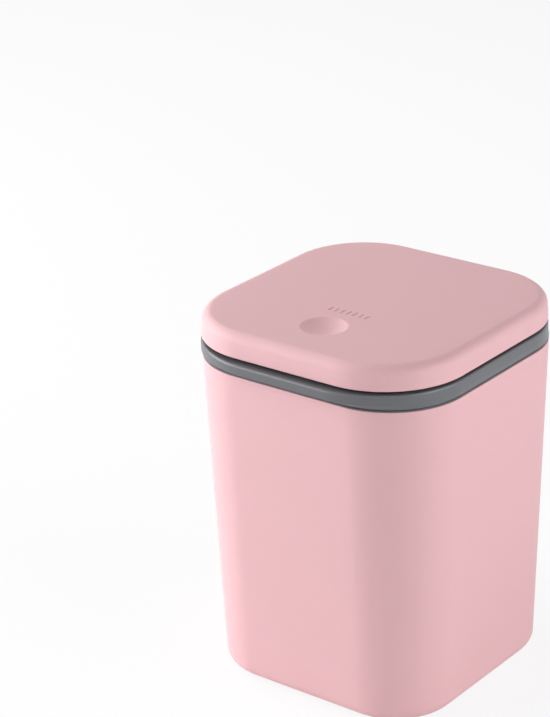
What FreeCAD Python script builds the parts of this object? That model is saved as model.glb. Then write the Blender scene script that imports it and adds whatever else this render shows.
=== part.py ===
import FreeCAD, Part
import math
import os
from types import SimpleNamespace

import Sketcher
from FreeCAD import Vector

# A small square waste bin with rounded corners: a tapered bucket, a lift-off collar
# that clamps the bag on the rim, and a sprung lid held shut by a push catch.
# Millimetres, +Z up, front towards -Y, origin on the standing plane under the middle
# of the footprint. Each piece is drawn about the bucket's own axis and moved back by
# footprint_shift, half of what the collar's front lip adds.
SIZES = {
    # bucket
    "bin_rim_half": 62.5,
    "bin_straight": 28.3,
    "bin_draft": 5.6,
    "bin_height": 147.6,
    "bin_wall": 2.0,
    "bin_floor": 2.2,
    "bin_base_fillet": 6.5,
    "foot_width": 5.0,
    "foot_recess": 1.5,
    # collar
    "shadow_gap": 0.8,
    "shadow_depth": 1.1,
    "ridge_rise": 7.5,
    "ridge_flare": 0.4,
    "ridge_lip": 5.1,
    "ridge_straight": 21.1,
    "ridge_rear_straight": 26.4,
    "ridge_edge": 4.2,
    "ridge_round": 0.7,
    "lip_width": 3.4,
    "land_drop": 2.0,
    "deck_thickness": 2.0,
    "plug_depth": 10.5,
    "plug_clearance": 0.35,
    "plug_wall": 1.6,
    "deck_side": 14.5,
    "deck_front": 19.0,
    "deck_rear": 13.5,
    "mouth_straight": 22.0,
    "neck_wall": 1.6,
    "neck_height": 4.5,
    "neck_round": 0.6,
    # lid
    "lid_gap": 1.5,
    "lid_side": 0.2,
    "lid_lead": 2.1,
    "lid_straight": 25.4,
    "lid_rear_straight": 27.1,
    "lid_height": 10.6,
    "lid_draft": 0.6,
    "lid_edge_round": 4.6,
    "lid_wall": 2.0,
    "lid_top_wall": 2.4,
    "dimple_setback": 30.6,
    "dimple_diameter": 21.5,
    "dimple_depth": 2.0,
    "dimple_edge_round": 2.5,
    "dimple_backing": 2.2,
    # hinge
    "hinge_rise": 3.4,
    "ear_radius": 3.0,
    "ear_width": 8.0,
    "ear_start": 13.5,
    "knuckle_width": 4.0,
    "knuckle_radius": 2.5,
    "hinge_side_gap": 0.5,
    "pin_radius": 1.25,
    "pin_fit": 0.05,
    "pin_overhang": 0.6,
    "window_clearance": 0.9,
    # lid spring
    "lid_wire": 0.8,
    "lid_coil_radius": 2.1,
    "lid_coil_pitch": 1.35,
    "lid_coil_turns": 8.0,
    "lid_leg_length": 7.6,
    "spring_gap": 0.3,
    "spring_rest_width": 3.0,
    # push catch
    "latch_inset": 10.9,
    "latch_height": 34.0,
    "latch_half": 10.6,
    "latch_wall": 1.2,
    "latch_floor": 1.5,
    "flange_half": 18.0,
    "flange_thickness": 2.0,
    "catch_screw_half": 14.5,
    "screw_radius": 1.0,
    "screw_fit": 0.05,
    "screw_clearance": 0.3,
    "screw_head_radius": 1.9,
    "screw_head_height": 1.4,
    "boss_radius": 2.6,
    "boss_height": 2.4,
    "slide_gap": 0.4,
    "slider_half": 6.7,
    "slider_rise": 9.7,
    "slider_base": 4.0,
    "cheek_height": 7.0,
    "front_cheek": 2.4,
    "rear_cheek": 1.5,
    "track_half": 1.6,
    "track_depth": 1.9,
    "jaw_thickness": 3.6,
    "jaw_pivot_half": 5.0,
    "jaw_pin_radius": 0.75,
    "jaw_boss_half": 1.6,
    "jaw_arm": 2.0,
    "jaw_length": 15.0,
    "hook_gap": 0.8,
    "hook_height": 1.6,
    "hook_lead": 1.2,
    "throat_half": 8.8,
    "slot_margin": 0.6,
    "follower_wire": 0.7,
    "follower_length": 11.4,
    "follower_bend": 0.8,
    "catch_wire": 0.5,
    "catch_coil_radius": 2.5,
    "catch_coil_turns": 6.0,
    "spring_recess": 2.0,
    # striker on the lid
    "stem_half": 1.2,
    "stem_depth": 3.6,
    "head_half": 3.4,
    "head_height": 2.2,
    "head_gap": 0.5,
    "striker_plate": 1.6,
    "striker_plate_half": 8.5,
    "striker_plate_depth": 7.0,
    "striker_screw_half": 5.4,
    "striker_boss_height": 3.0,
    "striker_boss_radius": 2.2,
}

MINIMUM_COIL_GAP = 0.4
SCREW_RECESS_SHARE = 0.55
POINT_TOLERANCE = 1e-4
FULL_TURN = 2 * math.pi
# the part turn that brings the lid spring from its deck leg to its lid leg
LEG_TURN = 0.75

doc = FreeCAD.newDocument("mini_waste_bin")
sheet = doc.addObject("Spreadsheet::Sheet", "Sizes")
for row, (alias, number) in enumerate(SIZES.items(), start=1):
    sheet.set(f"A{row}", alias)
    sheet.set(f"B{row}", f"{number:g}")
    sheet.setAlias(f"B{row}", alias)
doc.recompute()


class Dim:
    """A length: its value now, and the sheet expression that drives it."""

    def __init__(self, text, value):
        self.text = text
        self.value = value

    def joined(self, sign, other, value):
        return Dim(f"({self.text} {sign} {as_dim(other).text})", value)

    def __add__(self, other):
        return self.joined("+", other, self.value + as_dim(other).value)

    def __sub__(self, other):
        return self.joined("-", other, self.value - as_dim(other).value)

    def __mul__(self, other):
        return self.joined("*", other, self.value * as_dim(other).value)

    def __truediv__(self, other):
        return self.joined("/", other, self.value / as_dim(other).value)

    def __neg__(self):
        return Dim(f"(-1 * {self.text})", -self.value)


def as_dim(number):
    """A plain number as a Dim; a Dim stays as it is."""
    return number if isinstance(number, Dim) else Dim(f"{number:g}", number)


size = SimpleNamespace(**{alias: Dim(f"Sizes.{alias}", sheet.get(alias)) for alias in SIZES})
ZERO = as_dim(0)


def outline(half, front, rear, straight, rear_straight):
    """A rounded outline: half width, reach to the front and to the rear, front and rear corner radius."""
    return half, front, rear, half - straight, half - rear_straight


def inset(lengths, depth):
    """An outline drawn in by one depth all round."""
    return tuple(length - depth for length in lengths)


# Outlines, all counted from the bucket's rim.
rim_half = size.bin_rim_half
rim_outline = outline(rim_half, rim_half, rim_half, size.bin_straight, size.bin_straight)
base_outline = inset(rim_outline, size.bin_draft)
ridge_half = rim_half + size.ridge_flare
ridge_front = rim_half + size.ridge_lip
ridge_outline = outline(
    ridge_half, ridge_front, ridge_half, size.ridge_straight, size.ridge_rear_straight
)
lid_front = rim_half + size.lid_lead
lid_outline = outline(
    rim_half + size.lid_side, lid_front, rim_half, size.lid_straight, size.lid_rear_straight
)
mouth_outline = outline(
    rim_half - size.deck_side,
    rim_half - size.deck_front,
    rim_half - size.deck_rear,
    size.mouth_straight,
    size.mouth_straight,
)

# Levels and places that more than one piece takes.
bin_taper = size.bin_draft / size.bin_height
floor_top = size.foot_recess + size.bin_floor
seat_z = size.bin_height
ridge_z = seat_z + size.ridge_rise
land_z = ridge_z - size.land_drop
deck_under_z = land_z - size.deck_thickness
lid_low_z = ridge_z + size.lid_gap
lid_top_z = lid_low_z + size.lid_height
lid_under_z = lid_top_z - size.lid_top_wall
footprint_shift = (ridge_front - ridge_half) / 2
hinge_y = ridge_half - size.ear_radius
hinge_z = lid_low_z + size.hinge_rise
ear_end = size.ear_start + size.ear_width
knuckle_starts = (
    size.ear_start - size.hinge_side_gap - size.knuckle_width,
    ear_end + size.hinge_side_gap,
)
pin_half = knuckle_starts[1] + size.knuckle_width + size.pin_overhang
coil_turns = size.lid_coil_turns + LEG_TURN
coil_half = size.lid_coil_pitch * coil_turns / 2

# The catch, counted from the front: wall, front cheek, jaws, rear cheek, cover.
latch_reach = rim_half - size.latch_inset
latch_y = -latch_reach
jaw_front = latch_reach + size.jaw_thickness / 2
jaw_rear = latch_reach - size.jaw_thickness / 2
slider_front = jaw_front + size.slide_gap + size.front_cheek
slider_rear = jaw_rear - size.slide_gap - size.rear_cheek
cavity_front = slider_front + size.slide_gap
cover_front = slider_rear - size.slide_gap
latch_low_z = deck_under_z - size.latch_height
latch_floor_z = latch_low_z + size.latch_floor
slider_low_z = latch_low_z + size.slider_rise
slider_deck_z = slider_low_z + size.slider_base
pivot_z = slider_deck_z + size.cheek_height / 2
jaw_top_z = pivot_z + size.jaw_length
hook_under_z = jaw_top_z - size.hook_lead - size.hook_height
head_top_z = hook_under_z - size.head_gap


def new_body(label):
    """An empty PartDesign body whose label names the piece, moved to its place."""
    body = doc.addObject("PartDesign::Body", label)
    body.setExpression("Placement.Base.y", footprint_shift.text)
    return body


def new_sketch(body, name, role, offset=ZERO):
    """A sketch on one of the body's own origin planes, moved along its normal."""
    sketch = body.newObject("Sketcher::SketchObject", f"{body.Label}_{name}")
    plane = next(item for item in body.Origin.OriginFeatures if item.Role == role)
    sketch.AttachmentSupport = [(plane, "")]
    sketch.MapMode = "FlatFace"
    sketch.setExpression("AttachmentOffset.Base.z", offset.text)
    return sketch


def drive(sketch, kind, *where, length):
    """Add a dimension to a sketch and bind it to the sheet."""
    index = sketch.addConstraint(Sketcher.Constraint(kind, *where, length.value))
    sketch.setExpression(f"Constraints[{index}]", length.text)


def draw_polygon(sketch, points):
    """A closed outline of straight edges with every corner placed from the origin."""
    first = sketch.GeometryCount
    count = len(points)
    flat = [Vector(x.value, y.value, 0) for x, y in points]
    for index in range(count):
        sketch.addGeometry(Part.LineSegment(flat[index], flat[(index + 1) % count]), False)
    for index in range(count):
        after = first + (index + 1) % count
        sketch.addConstraint(Sketcher.Constraint("Coincident", first + index, 2, after, 1))
    for index, (x, y) in enumerate(points):
        drive(sketch, "DistanceX", -1, 1, first + index, 1, length=x)
        drive(sketch, "DistanceY", -1, 1, first + index, 1, length=y)


def draw_box(sketch, left, right, low, high):
    """A rectangle between two pairs of straight edges."""
    draw_polygon(sketch, [(left, low), (right, low), (right, high), (left, high)])


def draw_circle(sketch, x, y, radius):
    """A circle placed from the origin."""
    centre = Vector(x.value, y.value, 0)
    index = sketch.addGeometry(Part.Circle(centre, Vector(0, 0, 1), radius.value), False)
    drive(sketch, "DistanceX", -1, 1, index, 3, length=x)
    drive(sketch, "DistanceY", -1, 1, index, 3, length=y)
    drive(sketch, "Radius", index, length=radius)


def draw_rounded(sketch, half, front, rear, corner, rear_corner):
    """A rectangle from -half to half and from -front to rear, its front and rear corners round."""
    first = sketch.GeometryCount
    r, q = corner.value, rear_corner.value
    left, right = -half.value, half.value
    low, high = -front.value, rear.value
    centres = [(right - r, low + r), (right - q, high - q), (left + q, high - q), (left + r, low + r)]
    starts = [(left + r, low), (right, low + r), (right - q, high), (left, high - q)]
    ends = [(right - r, low), (right, high - q), (left + q, high), (left, low + r)]
    for index, radius in enumerate((r, q, q, r)):
        start, end = Vector(*starts[index], 0), Vector(*ends[index], 0)
        sketch.addGeometry(Part.LineSegment(start, end), False)
        ring = Part.Circle(Vector(*centres[index], 0), Vector(0, 0, 1), radius)
        angle = (index - 1) * math.pi / 2
        sketch.addGeometry(Part.ArcOfCircle(ring, angle, angle + math.pi / 2), False)
    for index in range(8):
        after = first + (index + 1) % 8
        sketch.addConstraint(Sketcher.Constraint("Tangent", first + index, 2, after, 1))
    for index, kind in enumerate(["Horizontal", "Vertical", "Horizontal", "Vertical"]):
        sketch.addConstraint(Sketcher.Constraint(kind, first + 2 * index))
    for one, other in ((1, 7), (3, 5)):
        sketch.addConstraint(Sketcher.Constraint("Equal", first + one, first + other))
    drive(sketch, "DistanceY", -1, 1, first, 1, length=-front)
    drive(sketch, "DistanceX", -1, 1, first + 2, 1, length=half)
    drive(sketch, "DistanceY", -1, 1, first + 4, 1, length=rear)
    drive(sketch, "DistanceX", -1, 1, first + 6, 1, length=-half)
    drive(sketch, "Radius", first + 1, length=corner)
    drive(sketch, "Radius", first + 3, length=rear_corner)


def draw_tongue(sketch, x, y, radius, base):
    """A straight-sided tongue from the level base to a round end about (x, y)."""
    turn = 1 if base.value < y.value else -1
    r = radius.value
    centre = Vector(x.value, y.value, 0)
    right, left = Vector(x.value + r, y.value, 0), Vector(x.value - r, y.value, 0)
    right_base, left_base = Vector(right.x, base.value, 0), Vector(left.x, base.value, 0)
    ring = Part.Circle(centre, Vector(0, 0, 1), r)
    angles = (0, math.pi) if turn > 0 else (math.pi, FULL_TURN)
    sketch.addGeometry(Part.LineSegment(left_base, right_base), False)
    sketch.addGeometry(Part.LineSegment(right_base, right), False)
    sketch.addGeometry(Part.ArcOfCircle(ring, *angles), False)
    sketch.addGeometry(Part.LineSegment(left, left_base), False)
    arc_start, arc_end = (1, 2) if turn > 0 else (2, 1)
    sketch.addConstraint(Sketcher.Constraint("Coincident", 0, 2, 1, 1))
    sketch.addConstraint(Sketcher.Constraint("Tangent", 1, 2, 2, arc_start))
    sketch.addConstraint(Sketcher.Constraint("Tangent", 2, arc_end, 3, 1))
    sketch.addConstraint(Sketcher.Constraint("Coincident", 3, 2, 0, 1))
    sketch.addConstraint(Sketcher.Constraint("Horizontal", 0))
    sketch.addConstraint(Sketcher.Constraint("Vertical", 1))
    drive(sketch, "DistanceX", -1, 1, 2, 3, length=x)
    drive(sketch, "DistanceY", -1, 1, 2, 3, length=y)
    drive(sketch, "Radius", 2, length=radius)
    drive(sketch, "DistanceY", -1, 1, 0, 1, length=base)


def extrude(kind, sketch, length, side="One side", backwards=False, slope=None):
    """A Pad or Pocket of a sketch, its walls spread by the slope; a Pocket has to cut something."""
    body = sketch.getParentGeoFeatureGroup()
    before = body.Tip.Shape.Volume if kind == "Pocket" else 0
    feature = body.newObject(f"PartDesign::{kind}", f"{sketch.Name}_{kind.lower()}")
    feature.Profile = sketch
    feature.SideType = side
    feature.Reversed = backwards
    feature.setExpression("Length", length.text)
    if slope:
        feature.setExpression("TaperAngle", f"atan({slope.text})")
    doc.recompute()
    if kind == "Pocket" and feature.Shape.Volume > before - POINT_TOLERANCE:
        raise RuntimeError(f"{feature.Name} cuts nothing")
    return feature


def loft(low, high):
    """A ruled AdditiveLoft between two outlines."""
    body = low.getParentGeoFeatureGroup()
    feature = body.newObject("PartDesign::AdditiveLoft", f"{low.Name}_loft")
    feature.Profile = low
    feature.Sections = [high]
    feature.Ruled = True
    doc.recompute()
    return feature


def edges_at(feature, z, keep=lambda box: True):
    """Names of the feature's edges that lie level at height z and pass the test."""
    names = []
    for index, edge in enumerate(feature.Shape.Edges, start=1):
        box = edge.BoundBox
        level = abs(box.ZMin - z.value) < POINT_TOLERANCE and abs(box.ZMax - z.value) < POINT_TOLERANCE
        if level and keep(box):
            names.append(f"Edge{index}")
    return names


def round_edges(feature, names, radius):
    """A PartDesign fillet on the named edges."""
    body = feature.getParentGeoFeatureGroup()
    fillet = body.newObject("PartDesign::Fillet", f"{feature.Name}_round")
    fillet.Base = (feature, names)
    fillet.setExpression("Radius", radius.text)
    doc.recompute()
    return fillet


def build_bin():
    """The bucket: a tapered shell with a recessed underside that leaves a standing ring."""
    body = new_body("bin_body")
    base = new_sketch(body, "base", "XY_Plane")
    draw_rounded(base, *base_outline)
    outside = extrude("Pad", base, size.bin_height, slope=bin_taper)
    round_edges(outside, edges_at(outside, ZERO), size.bin_base_fillet)

    floor = new_sketch(body, "floor", "XY_Plane", floor_top)
    draw_rounded(floor, *inset(base_outline, size.bin_wall - bin_taper * floor_top))
    hollow = extrude("Pocket", floor, size.bin_height - floor_top, backwards=True, slope=bin_taper)
    round_edges(hollow, edges_at(hollow, floor_top), size.bin_base_fillet - size.bin_wall)

    recess = new_sketch(body, "recess", "XY_Plane")
    draw_rounded(recess, *inset(base_outline, size.bin_base_fillet + size.foot_width))
    extrude("Pocket", recess, size.foot_recess, backwards=True)
    return body


def build_collar():
    """The collar: a flared band on the rim, a plug inside it, a sunk land, a neck and hinge ears."""
    body = new_body("collar_ring")
    band_low = new_sketch(body, "band_low", "XY_Plane", seat_z + size.shadow_gap)
    draw_rounded(band_low, *rim_outline)
    ridge = new_sketch(body, "ridge", "XY_Plane", ridge_z - size.ridge_edge)
    draw_rounded(ridge, *ridge_outline)
    loft(band_low, ridge)
    edge = new_sketch(body, "edge", "XY_Plane", ridge_z - size.ridge_edge)
    draw_rounded(edge, *ridge_outline)
    band = extrude("Pad", edge, size.ridge_edge)
    round_edges(band, edges_at(band, ridge_z), size.ridge_round)

    seat = new_sketch(body, "seat", "XY_Plane", seat_z)
    draw_rounded(seat, *inset(rim_outline, size.shadow_depth))
    extrude("Pad", seat, size.shadow_gap)

    plug_outline = inset(rim_outline, size.bin_wall + size.plug_clearance)
    plug = new_sketch(body, "plug", "XY_Plane", seat_z)
    draw_rounded(plug, *plug_outline)
    extrude("Pad", plug, size.plug_depth, backwards=True, slope=-bin_taper)

    hollow = new_sketch(body, "hollow", "XY_Plane", seat_z - size.plug_depth)
    draw_rounded(hollow, *inset(plug_outline, size.plug_wall + bin_taper * size.plug_depth))
    extrude("Pocket", hollow, deck_under_z - seat_z + size.plug_depth, backwards=True)

    neck_outline = inset(mouth_outline, -size.neck_wall)
    neck = new_sketch(body, "neck", "XY_Plane", land_z)
    draw_rounded(neck, *neck_outline)
    neck_pad = extrude("Pad", neck, size.neck_height)
    round_edges(neck_pad, edges_at(neck_pad, land_z + size.neck_height), size.neck_round)

    land = new_sketch(body, "land", "XY_Plane", ridge_z)
    draw_rounded(land, *inset(ridge_outline, size.lip_width))
    draw_rounded(land, *neck_outline)
    extrude("Pocket", land, size.land_drop)

    mouth = new_sketch(body, "mouth", "XY_Plane", land_z + size.neck_height)
    draw_rounded(mouth, *mouth_outline)
    extrude("Pocket", mouth, size.neck_height + size.deck_thickness)

    for side, start in (("left", -ear_end), ("right", size.ear_start)):
        ear = new_sketch(body, f"ear_{side}", "YZ_Plane", start)
        draw_tongue(ear, hinge_y, hinge_z, size.ear_radius, land_z)
        extrude("Pad", ear, size.ear_width)
    pin_hole = new_sketch(body, "pin_hole", "YZ_Plane")
    draw_circle(pin_hole, hinge_y, hinge_z, size.pin_radius + size.pin_fit)
    extrude("Pocket", pin_hole, pin_half * 2, side="Symmetric")

    for side, x in (("left", -size.catch_screw_half), ("right", size.catch_screw_half)):
        boss = new_sketch(body, f"boss_{side}", "XY_Plane", land_z)
        draw_circle(boss, x, latch_y, size.boss_radius)
        extrude("Pad", boss, size.boss_height)
        bore = new_sketch(body, f"bore_{side}", "XY_Plane", deck_under_z)
        draw_circle(bore, x, latch_y, size.screw_radius + size.screw_fit)
        bore_depth = size.deck_thickness + size.boss_height / 2
        extrude("Pocket", bore, bore_depth, backwards=True)

    slot = new_sketch(body, "slot", "XY_Plane", land_z)
    slot_half = size.jaw_thickness / 2 + size.slot_margin
    draw_box(slot, -size.throat_half, size.throat_half, latch_y - slot_half, latch_y + slot_half)
    extrude("Pocket", slot, size.deck_thickness)

    leg_hole = new_sketch(body, "leg_hole", "XY_Plane", land_z)
    hole_radius = size.lid_wire / 2 + size.spring_gap
    leg_lean = size.lid_coil_pitch / (size.lid_coil_radius * FULL_TURN)
    leg_x = -coil_half - leg_lean * (hinge_z - land_z + size.deck_thickness / 2)
    draw_circle(leg_hole, leg_x, hinge_y - size.lid_coil_radius, hole_radius)
    extrude("Pocket", leg_hole, size.deck_thickness)
    return body


def build_lid():
    """The lid: a drafted cap with a crowned top, a finger dimple, hinge knuckles and bosses."""
    body = new_body("lid_cover")
    low = new_sketch(body, "low", "XY_Plane", lid_low_z)
    draw_rounded(low, *lid_outline)
    cap = extrude("Pad", low, size.lid_height, slope=-size.lid_draft / size.lid_height)
    round_edges(cap, edges_at(cap, lid_top_z), size.lid_edge_round)

    hollow = new_sketch(body, "hollow", "XY_Plane", lid_low_z)
    draw_rounded(hollow, *inset(lid_outline, size.lid_draft + size.lid_wall))
    extrude("Pocket", hollow, size.lid_height - size.lid_top_wall, backwards=True)

    dimple_y = size.dimple_setback - lid_front
    backing = new_sketch(body, "dimple_backing", "XY_Plane", lid_under_z)
    draw_circle(backing, ZERO, dimple_y, size.dimple_diameter / 2)
    extrude("Pad", backing, size.dimple_backing, backwards=True)

    dish_half = size.dimple_diameter / 2
    dish_radius = (dish_half * dish_half + size.dimple_depth * size.dimple_depth) / (size.dimple_depth * 2)
    dish = body.newObject("PartDesign::SubtractiveSphere", "lid_cover_dimple")
    plane = next(item for item in body.Origin.OriginFeatures if item.Role == "XY_Plane")
    dish.AttachmentSupport = [(plane, "")]
    dish.MapMode = "FlatFace"
    dish.setExpression("Radius", dish_radius.text)
    dish.setExpression("AttachmentOffset.Base.y", dimple_y.text)
    dish.setExpression("AttachmentOffset.Base.z", (lid_top_z + dish_radius - size.dimple_depth).text)
    doc.recompute()
    dish_edges = edges_at(dish, lid_top_z, lambda box: box.XLength < 2 * size.dimple_diameter.value)
    round_edges(dish, dish_edges, size.dimple_edge_round)

    for side, x in (("left", -size.striker_screw_half), ("right", size.striker_screw_half)):
        boss = new_sketch(body, f"boss_{side}", "XY_Plane", lid_under_z)
        draw_circle(boss, x, latch_y, size.striker_boss_radius)
        extrude("Pad", boss, size.striker_boss_height, backwards=True)
        bore = new_sketch(body, f"bore_{side}", "XY_Plane", lid_under_z - size.striker_boss_height)
        draw_circle(bore, x, latch_y, size.screw_radius + size.screw_fit)
        extrude("Pocket", bore, size.striker_boss_height, backwards=True)

    window_half = ear_end + size.hinge_side_gap
    window_front = rim_half - size.lid_draft - size.lid_wall
    window = new_sketch(body, "hinge_window", "XY_Plane", lid_low_z)
    draw_box(window, -window_half, window_half, window_front, rim_half + size.lid_wall)
    window_rise = size.hinge_rise + size.ear_radius + size.window_clearance
    extrude("Pocket", window, window_rise, backwards=True)

    for index, start in enumerate(knuckle_starts):
        for side, x in (("left", -start - size.knuckle_width), ("right", start)):
            knuckle = new_sketch(body, f"knuckle_{index}_{side}", "YZ_Plane", x)
            draw_tongue(knuckle, hinge_y, hinge_z, size.knuckle_radius, lid_under_z)
            extrude("Pad", knuckle, size.knuckle_width)
    pin_hole = new_sketch(body, "pin_hole", "YZ_Plane")
    draw_circle(pin_hole, hinge_y, hinge_z, size.pin_radius + size.pin_fit)
    extrude("Pocket", pin_hole, (pin_half + size.hinge_side_gap) * 2, side="Symmetric")

    leg_top_z = hinge_z - size.lid_coil_radius + size.lid_wire / 2
    rest = new_sketch(body, "spring_rest", "XY_Plane", lid_under_z)
    rest_half = size.spring_rest_width / 2
    rest_front = hinge_y - size.lid_leg_length
    rest_rear = rest_front + size.spring_rest_width
    draw_box(rest, coil_half - rest_half, coil_half + rest_half, rest_front, rest_rear)
    extrude("Pad", rest, lid_under_z - leg_top_z - size.spring_gap, backwards=True)
    return body


def build_pin():
    """The hinge pin: one plain steel rod through the ears and the knuckles."""
    pin = doc.addObject("Part::Cylinder", "hinge_pin")
    pin.setExpression("Radius", size.pin_radius.text)
    pin.setExpression("Height", (pin_half * 2).text)
    pin.Placement.Rotation = FreeCAD.Rotation(Vector(0, 1, 0), 90)
    pin.setExpression("Placement.Base.x", (-pin_half).text)
    pin.setExpression("Placement.Base.y", (hinge_y + footprint_shift).text)
    pin.setExpression("Placement.Base.z", hinge_z.text)
    return pin


def build_housing():
    """The catch housing: a box open to the rear and the top, with two screw flanges."""
    body = new_body("latch_housing")
    housing_front = cavity_front + size.latch_wall
    box = new_sketch(body, "box", "XY_Plane", latch_low_z)
    draw_box(box, -size.latch_half, size.latch_half, -housing_front, -cover_front)
    extrude("Pad", box, size.latch_height)
    flange = new_sketch(body, "flange", "XY_Plane", deck_under_z)
    draw_box(flange, -size.flange_half, size.flange_half, -housing_front, -cover_front)
    extrude("Pad", flange, size.flange_thickness, backwards=True)

    slider_room = size.slider_half + size.slide_gap
    throat_z = pivot_z
    cavity = new_sketch(body, "cavity", "XZ_Plane", cover_front)
    draw_polygon(
        cavity,
        [
            (-slider_room, latch_floor_z),
            (slider_room, latch_floor_z),
            (slider_room, throat_z),
            (size.throat_half, throat_z + size.cheek_height),
            (size.throat_half, deck_under_z),
            (-size.throat_half, deck_under_z),
            (-size.throat_half, throat_z + size.cheek_height),
            (-slider_room, throat_z),
        ],
    )
    extrude("Pocket", cavity, cavity_front - cover_front, backwards=True)

    for side, x in (("left", -size.catch_screw_half), ("right", size.catch_screw_half)):
        hole = new_sketch(body, f"hole_{side}", "XY_Plane", deck_under_z)
        draw_circle(hole, x, latch_y, size.screw_radius + size.screw_clearance)
        extrude("Pocket", hole, size.flange_thickness)

    foot_hole = new_sketch(body, "foot_hole", "XZ_Plane", cavity_front)
    foot_z = latch_floor_z + size.follower_bend * 2
    draw_circle(foot_hole, ZERO, foot_z, size.follower_wire / 2 + size.pin_fit)
    extrude("Pocket", foot_hole, size.latch_wall, backwards=True)
    return body


def build_cover():
    """The plate that closes the rear of the catch housing."""
    body = new_body("latch_cover")
    plate = new_sketch(body, "plate", "XZ_Plane", cover_front)
    draw_box(plate, -size.latch_half, size.latch_half, latch_low_z, deck_under_z)
    extrude("Pad", plate, size.latch_wall, backwards=True)
    return body


def build_slider():
    """The catch slider: a base with a spring recess, two cheeks and a cam track in front."""
    body = new_body("latch_slider")
    base = new_sketch(body, "base", "XY_Plane", slider_low_z)
    draw_box(base, -size.slider_half, size.slider_half, -slider_front, -slider_rear)
    extrude("Pad", base, size.slider_base + size.cheek_height)
    gap = new_sketch(body, "jaw_gap", "XZ_Plane", jaw_rear - size.slide_gap)
    cheek_top_z = slider_deck_z + size.cheek_height
    draw_box(gap, -size.slider_half, size.slider_half, slider_deck_z, cheek_top_z)
    extrude("Pocket", gap, size.jaw_thickness + size.slide_gap * 2, backwards=True)

    track = new_sketch(body, "track", "XZ_Plane", slider_front)
    draw_box(track, -size.track_half, size.track_half, slider_low_z, cheek_top_z)
    extrude("Pocket", track, size.track_depth)

    recess = new_sketch(body, "spring_recess", "XY_Plane", slider_low_z)
    draw_circle(recess, ZERO, latch_y, size.catch_coil_radius + size.catch_wire / 2 + size.slide_gap)
    extrude("Pocket", recess, size.spring_recess, backwards=True)

    for side, x in (("left", -size.jaw_pivot_half), ("right", size.jaw_pivot_half)):
        hole = new_sketch(body, f"pin_{side}", "XZ_Plane", slider_rear)
        draw_circle(hole, x, pivot_z, size.jaw_pin_radius)
        extrude("Pocket", hole, slider_front - slider_rear, backwards=True)
    return body


def build_jaw(label, side):
    """One catch jaw: a pivot boss, a plain arm and a hook with a lead-in above the striker head."""
    body = new_body(label)
    boss_inner = size.jaw_pivot_half - size.jaw_boss_half
    boss_outer = size.jaw_pivot_half + size.jaw_boss_half
    boss_low = pivot_z - size.jaw_boss_half
    boss_high = pivot_z + size.jaw_boss_half
    arm_inner = size.head_half + size.slide_gap * 2
    arm_outer = arm_inner + size.jaw_arm
    hook_inner = size.stem_half + size.hook_gap
    points = [
        (boss_inner, boss_low),
        (boss_outer, boss_low),
        (boss_outer, boss_high),
        (arm_outer, boss_high + size.jaw_boss_half),
        (arm_outer, jaw_top_z),
        (hook_inner + size.hook_lead, jaw_top_z),
        (hook_inner, jaw_top_z - size.hook_lead),
        (hook_inner, hook_under_z),
        (arm_inner, hook_under_z),
        (arm_inner, boss_high + size.jaw_boss_half),
        (boss_inner, boss_high),
    ]
    profile = new_sketch(body, "profile", "XZ_Plane", jaw_rear)
    draw_polygon(profile, [(x * side, z) for x, z in points])
    extrude("Pad", profile, size.jaw_thickness)
    hole = new_sketch(body, "pin_hole", "XZ_Plane", jaw_rear)
    draw_circle(hole, size.jaw_pivot_half * side, pivot_z, size.jaw_pin_radius + size.pin_fit)
    extrude("Pocket", hole, size.jaw_thickness, backwards=True)
    return body


def build_jaw_pins():
    """The two jaw pins, pressed into the slider's cheeks."""
    pins = []
    for side, x in (("left", -size.jaw_pivot_half), ("right", size.jaw_pivot_half)):
        pin = doc.addObject("Part::Cylinder", f"jaw_pin_{side}")
        pin.setExpression("Radius", size.jaw_pin_radius.text)
        pin.setExpression("Height", (slider_front - slider_rear).text)
        pin.Placement.Rotation = FreeCAD.Rotation(Vector(1, 0, 0), 90)
        pin.setExpression("Placement.Base.x", x.text)
        pin.setExpression("Placement.Base.y", (footprint_shift - slider_rear).text)
        pin.setExpression("Placement.Base.z", pivot_z.text)
        pins.append(pin)
    group = doc.addObject("Part::Compound", "latch_jaw_pins")
    group.Links = pins
    return group


def build_screws(label, half, head_z, points_up_to):
    """Two pan-head screws that point up, each one revolved profile with a slot in its head."""
    screws = []
    for side, x in (("left", -half), ("right", half)):
        body = new_body(f"{label}_{side}")
        profile = new_sketch(body, "profile", "XZ_Plane", latch_reach)
        draw_polygon(
            profile,
            [
                (x, head_z),
                (x + size.screw_head_radius, head_z),
                (x + size.screw_head_radius, head_z + size.screw_head_height),
                (x + size.screw_radius, head_z + size.screw_head_height),
                (x + size.screw_radius, points_up_to - size.screw_radius),
                (x, points_up_to),
            ],
        )
        turned = body.newObject("PartDesign::Revolution", f"{label}_{side}_turned")
        turned.Profile = profile
        turned.ReferenceAxis = (profile, ["Edge6"])
        turned.Angle = 360
        doc.recompute()
        recess = new_sketch(body, "recess", "XY_Plane", head_z)
        reach = size.screw_head_radius * SCREW_RECESS_SHARE
        width = size.screw_head_radius - reach
        draw_box(recess, x - reach, x + reach, latch_y - width / 2, latch_y + width / 2)
        extrude("Pocket", recess, size.screw_head_height / 2, backwards=True)
        screws.append(body)
    group = doc.addObject("Part::Compound", label)
    group.Links = screws
    return group


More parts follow.
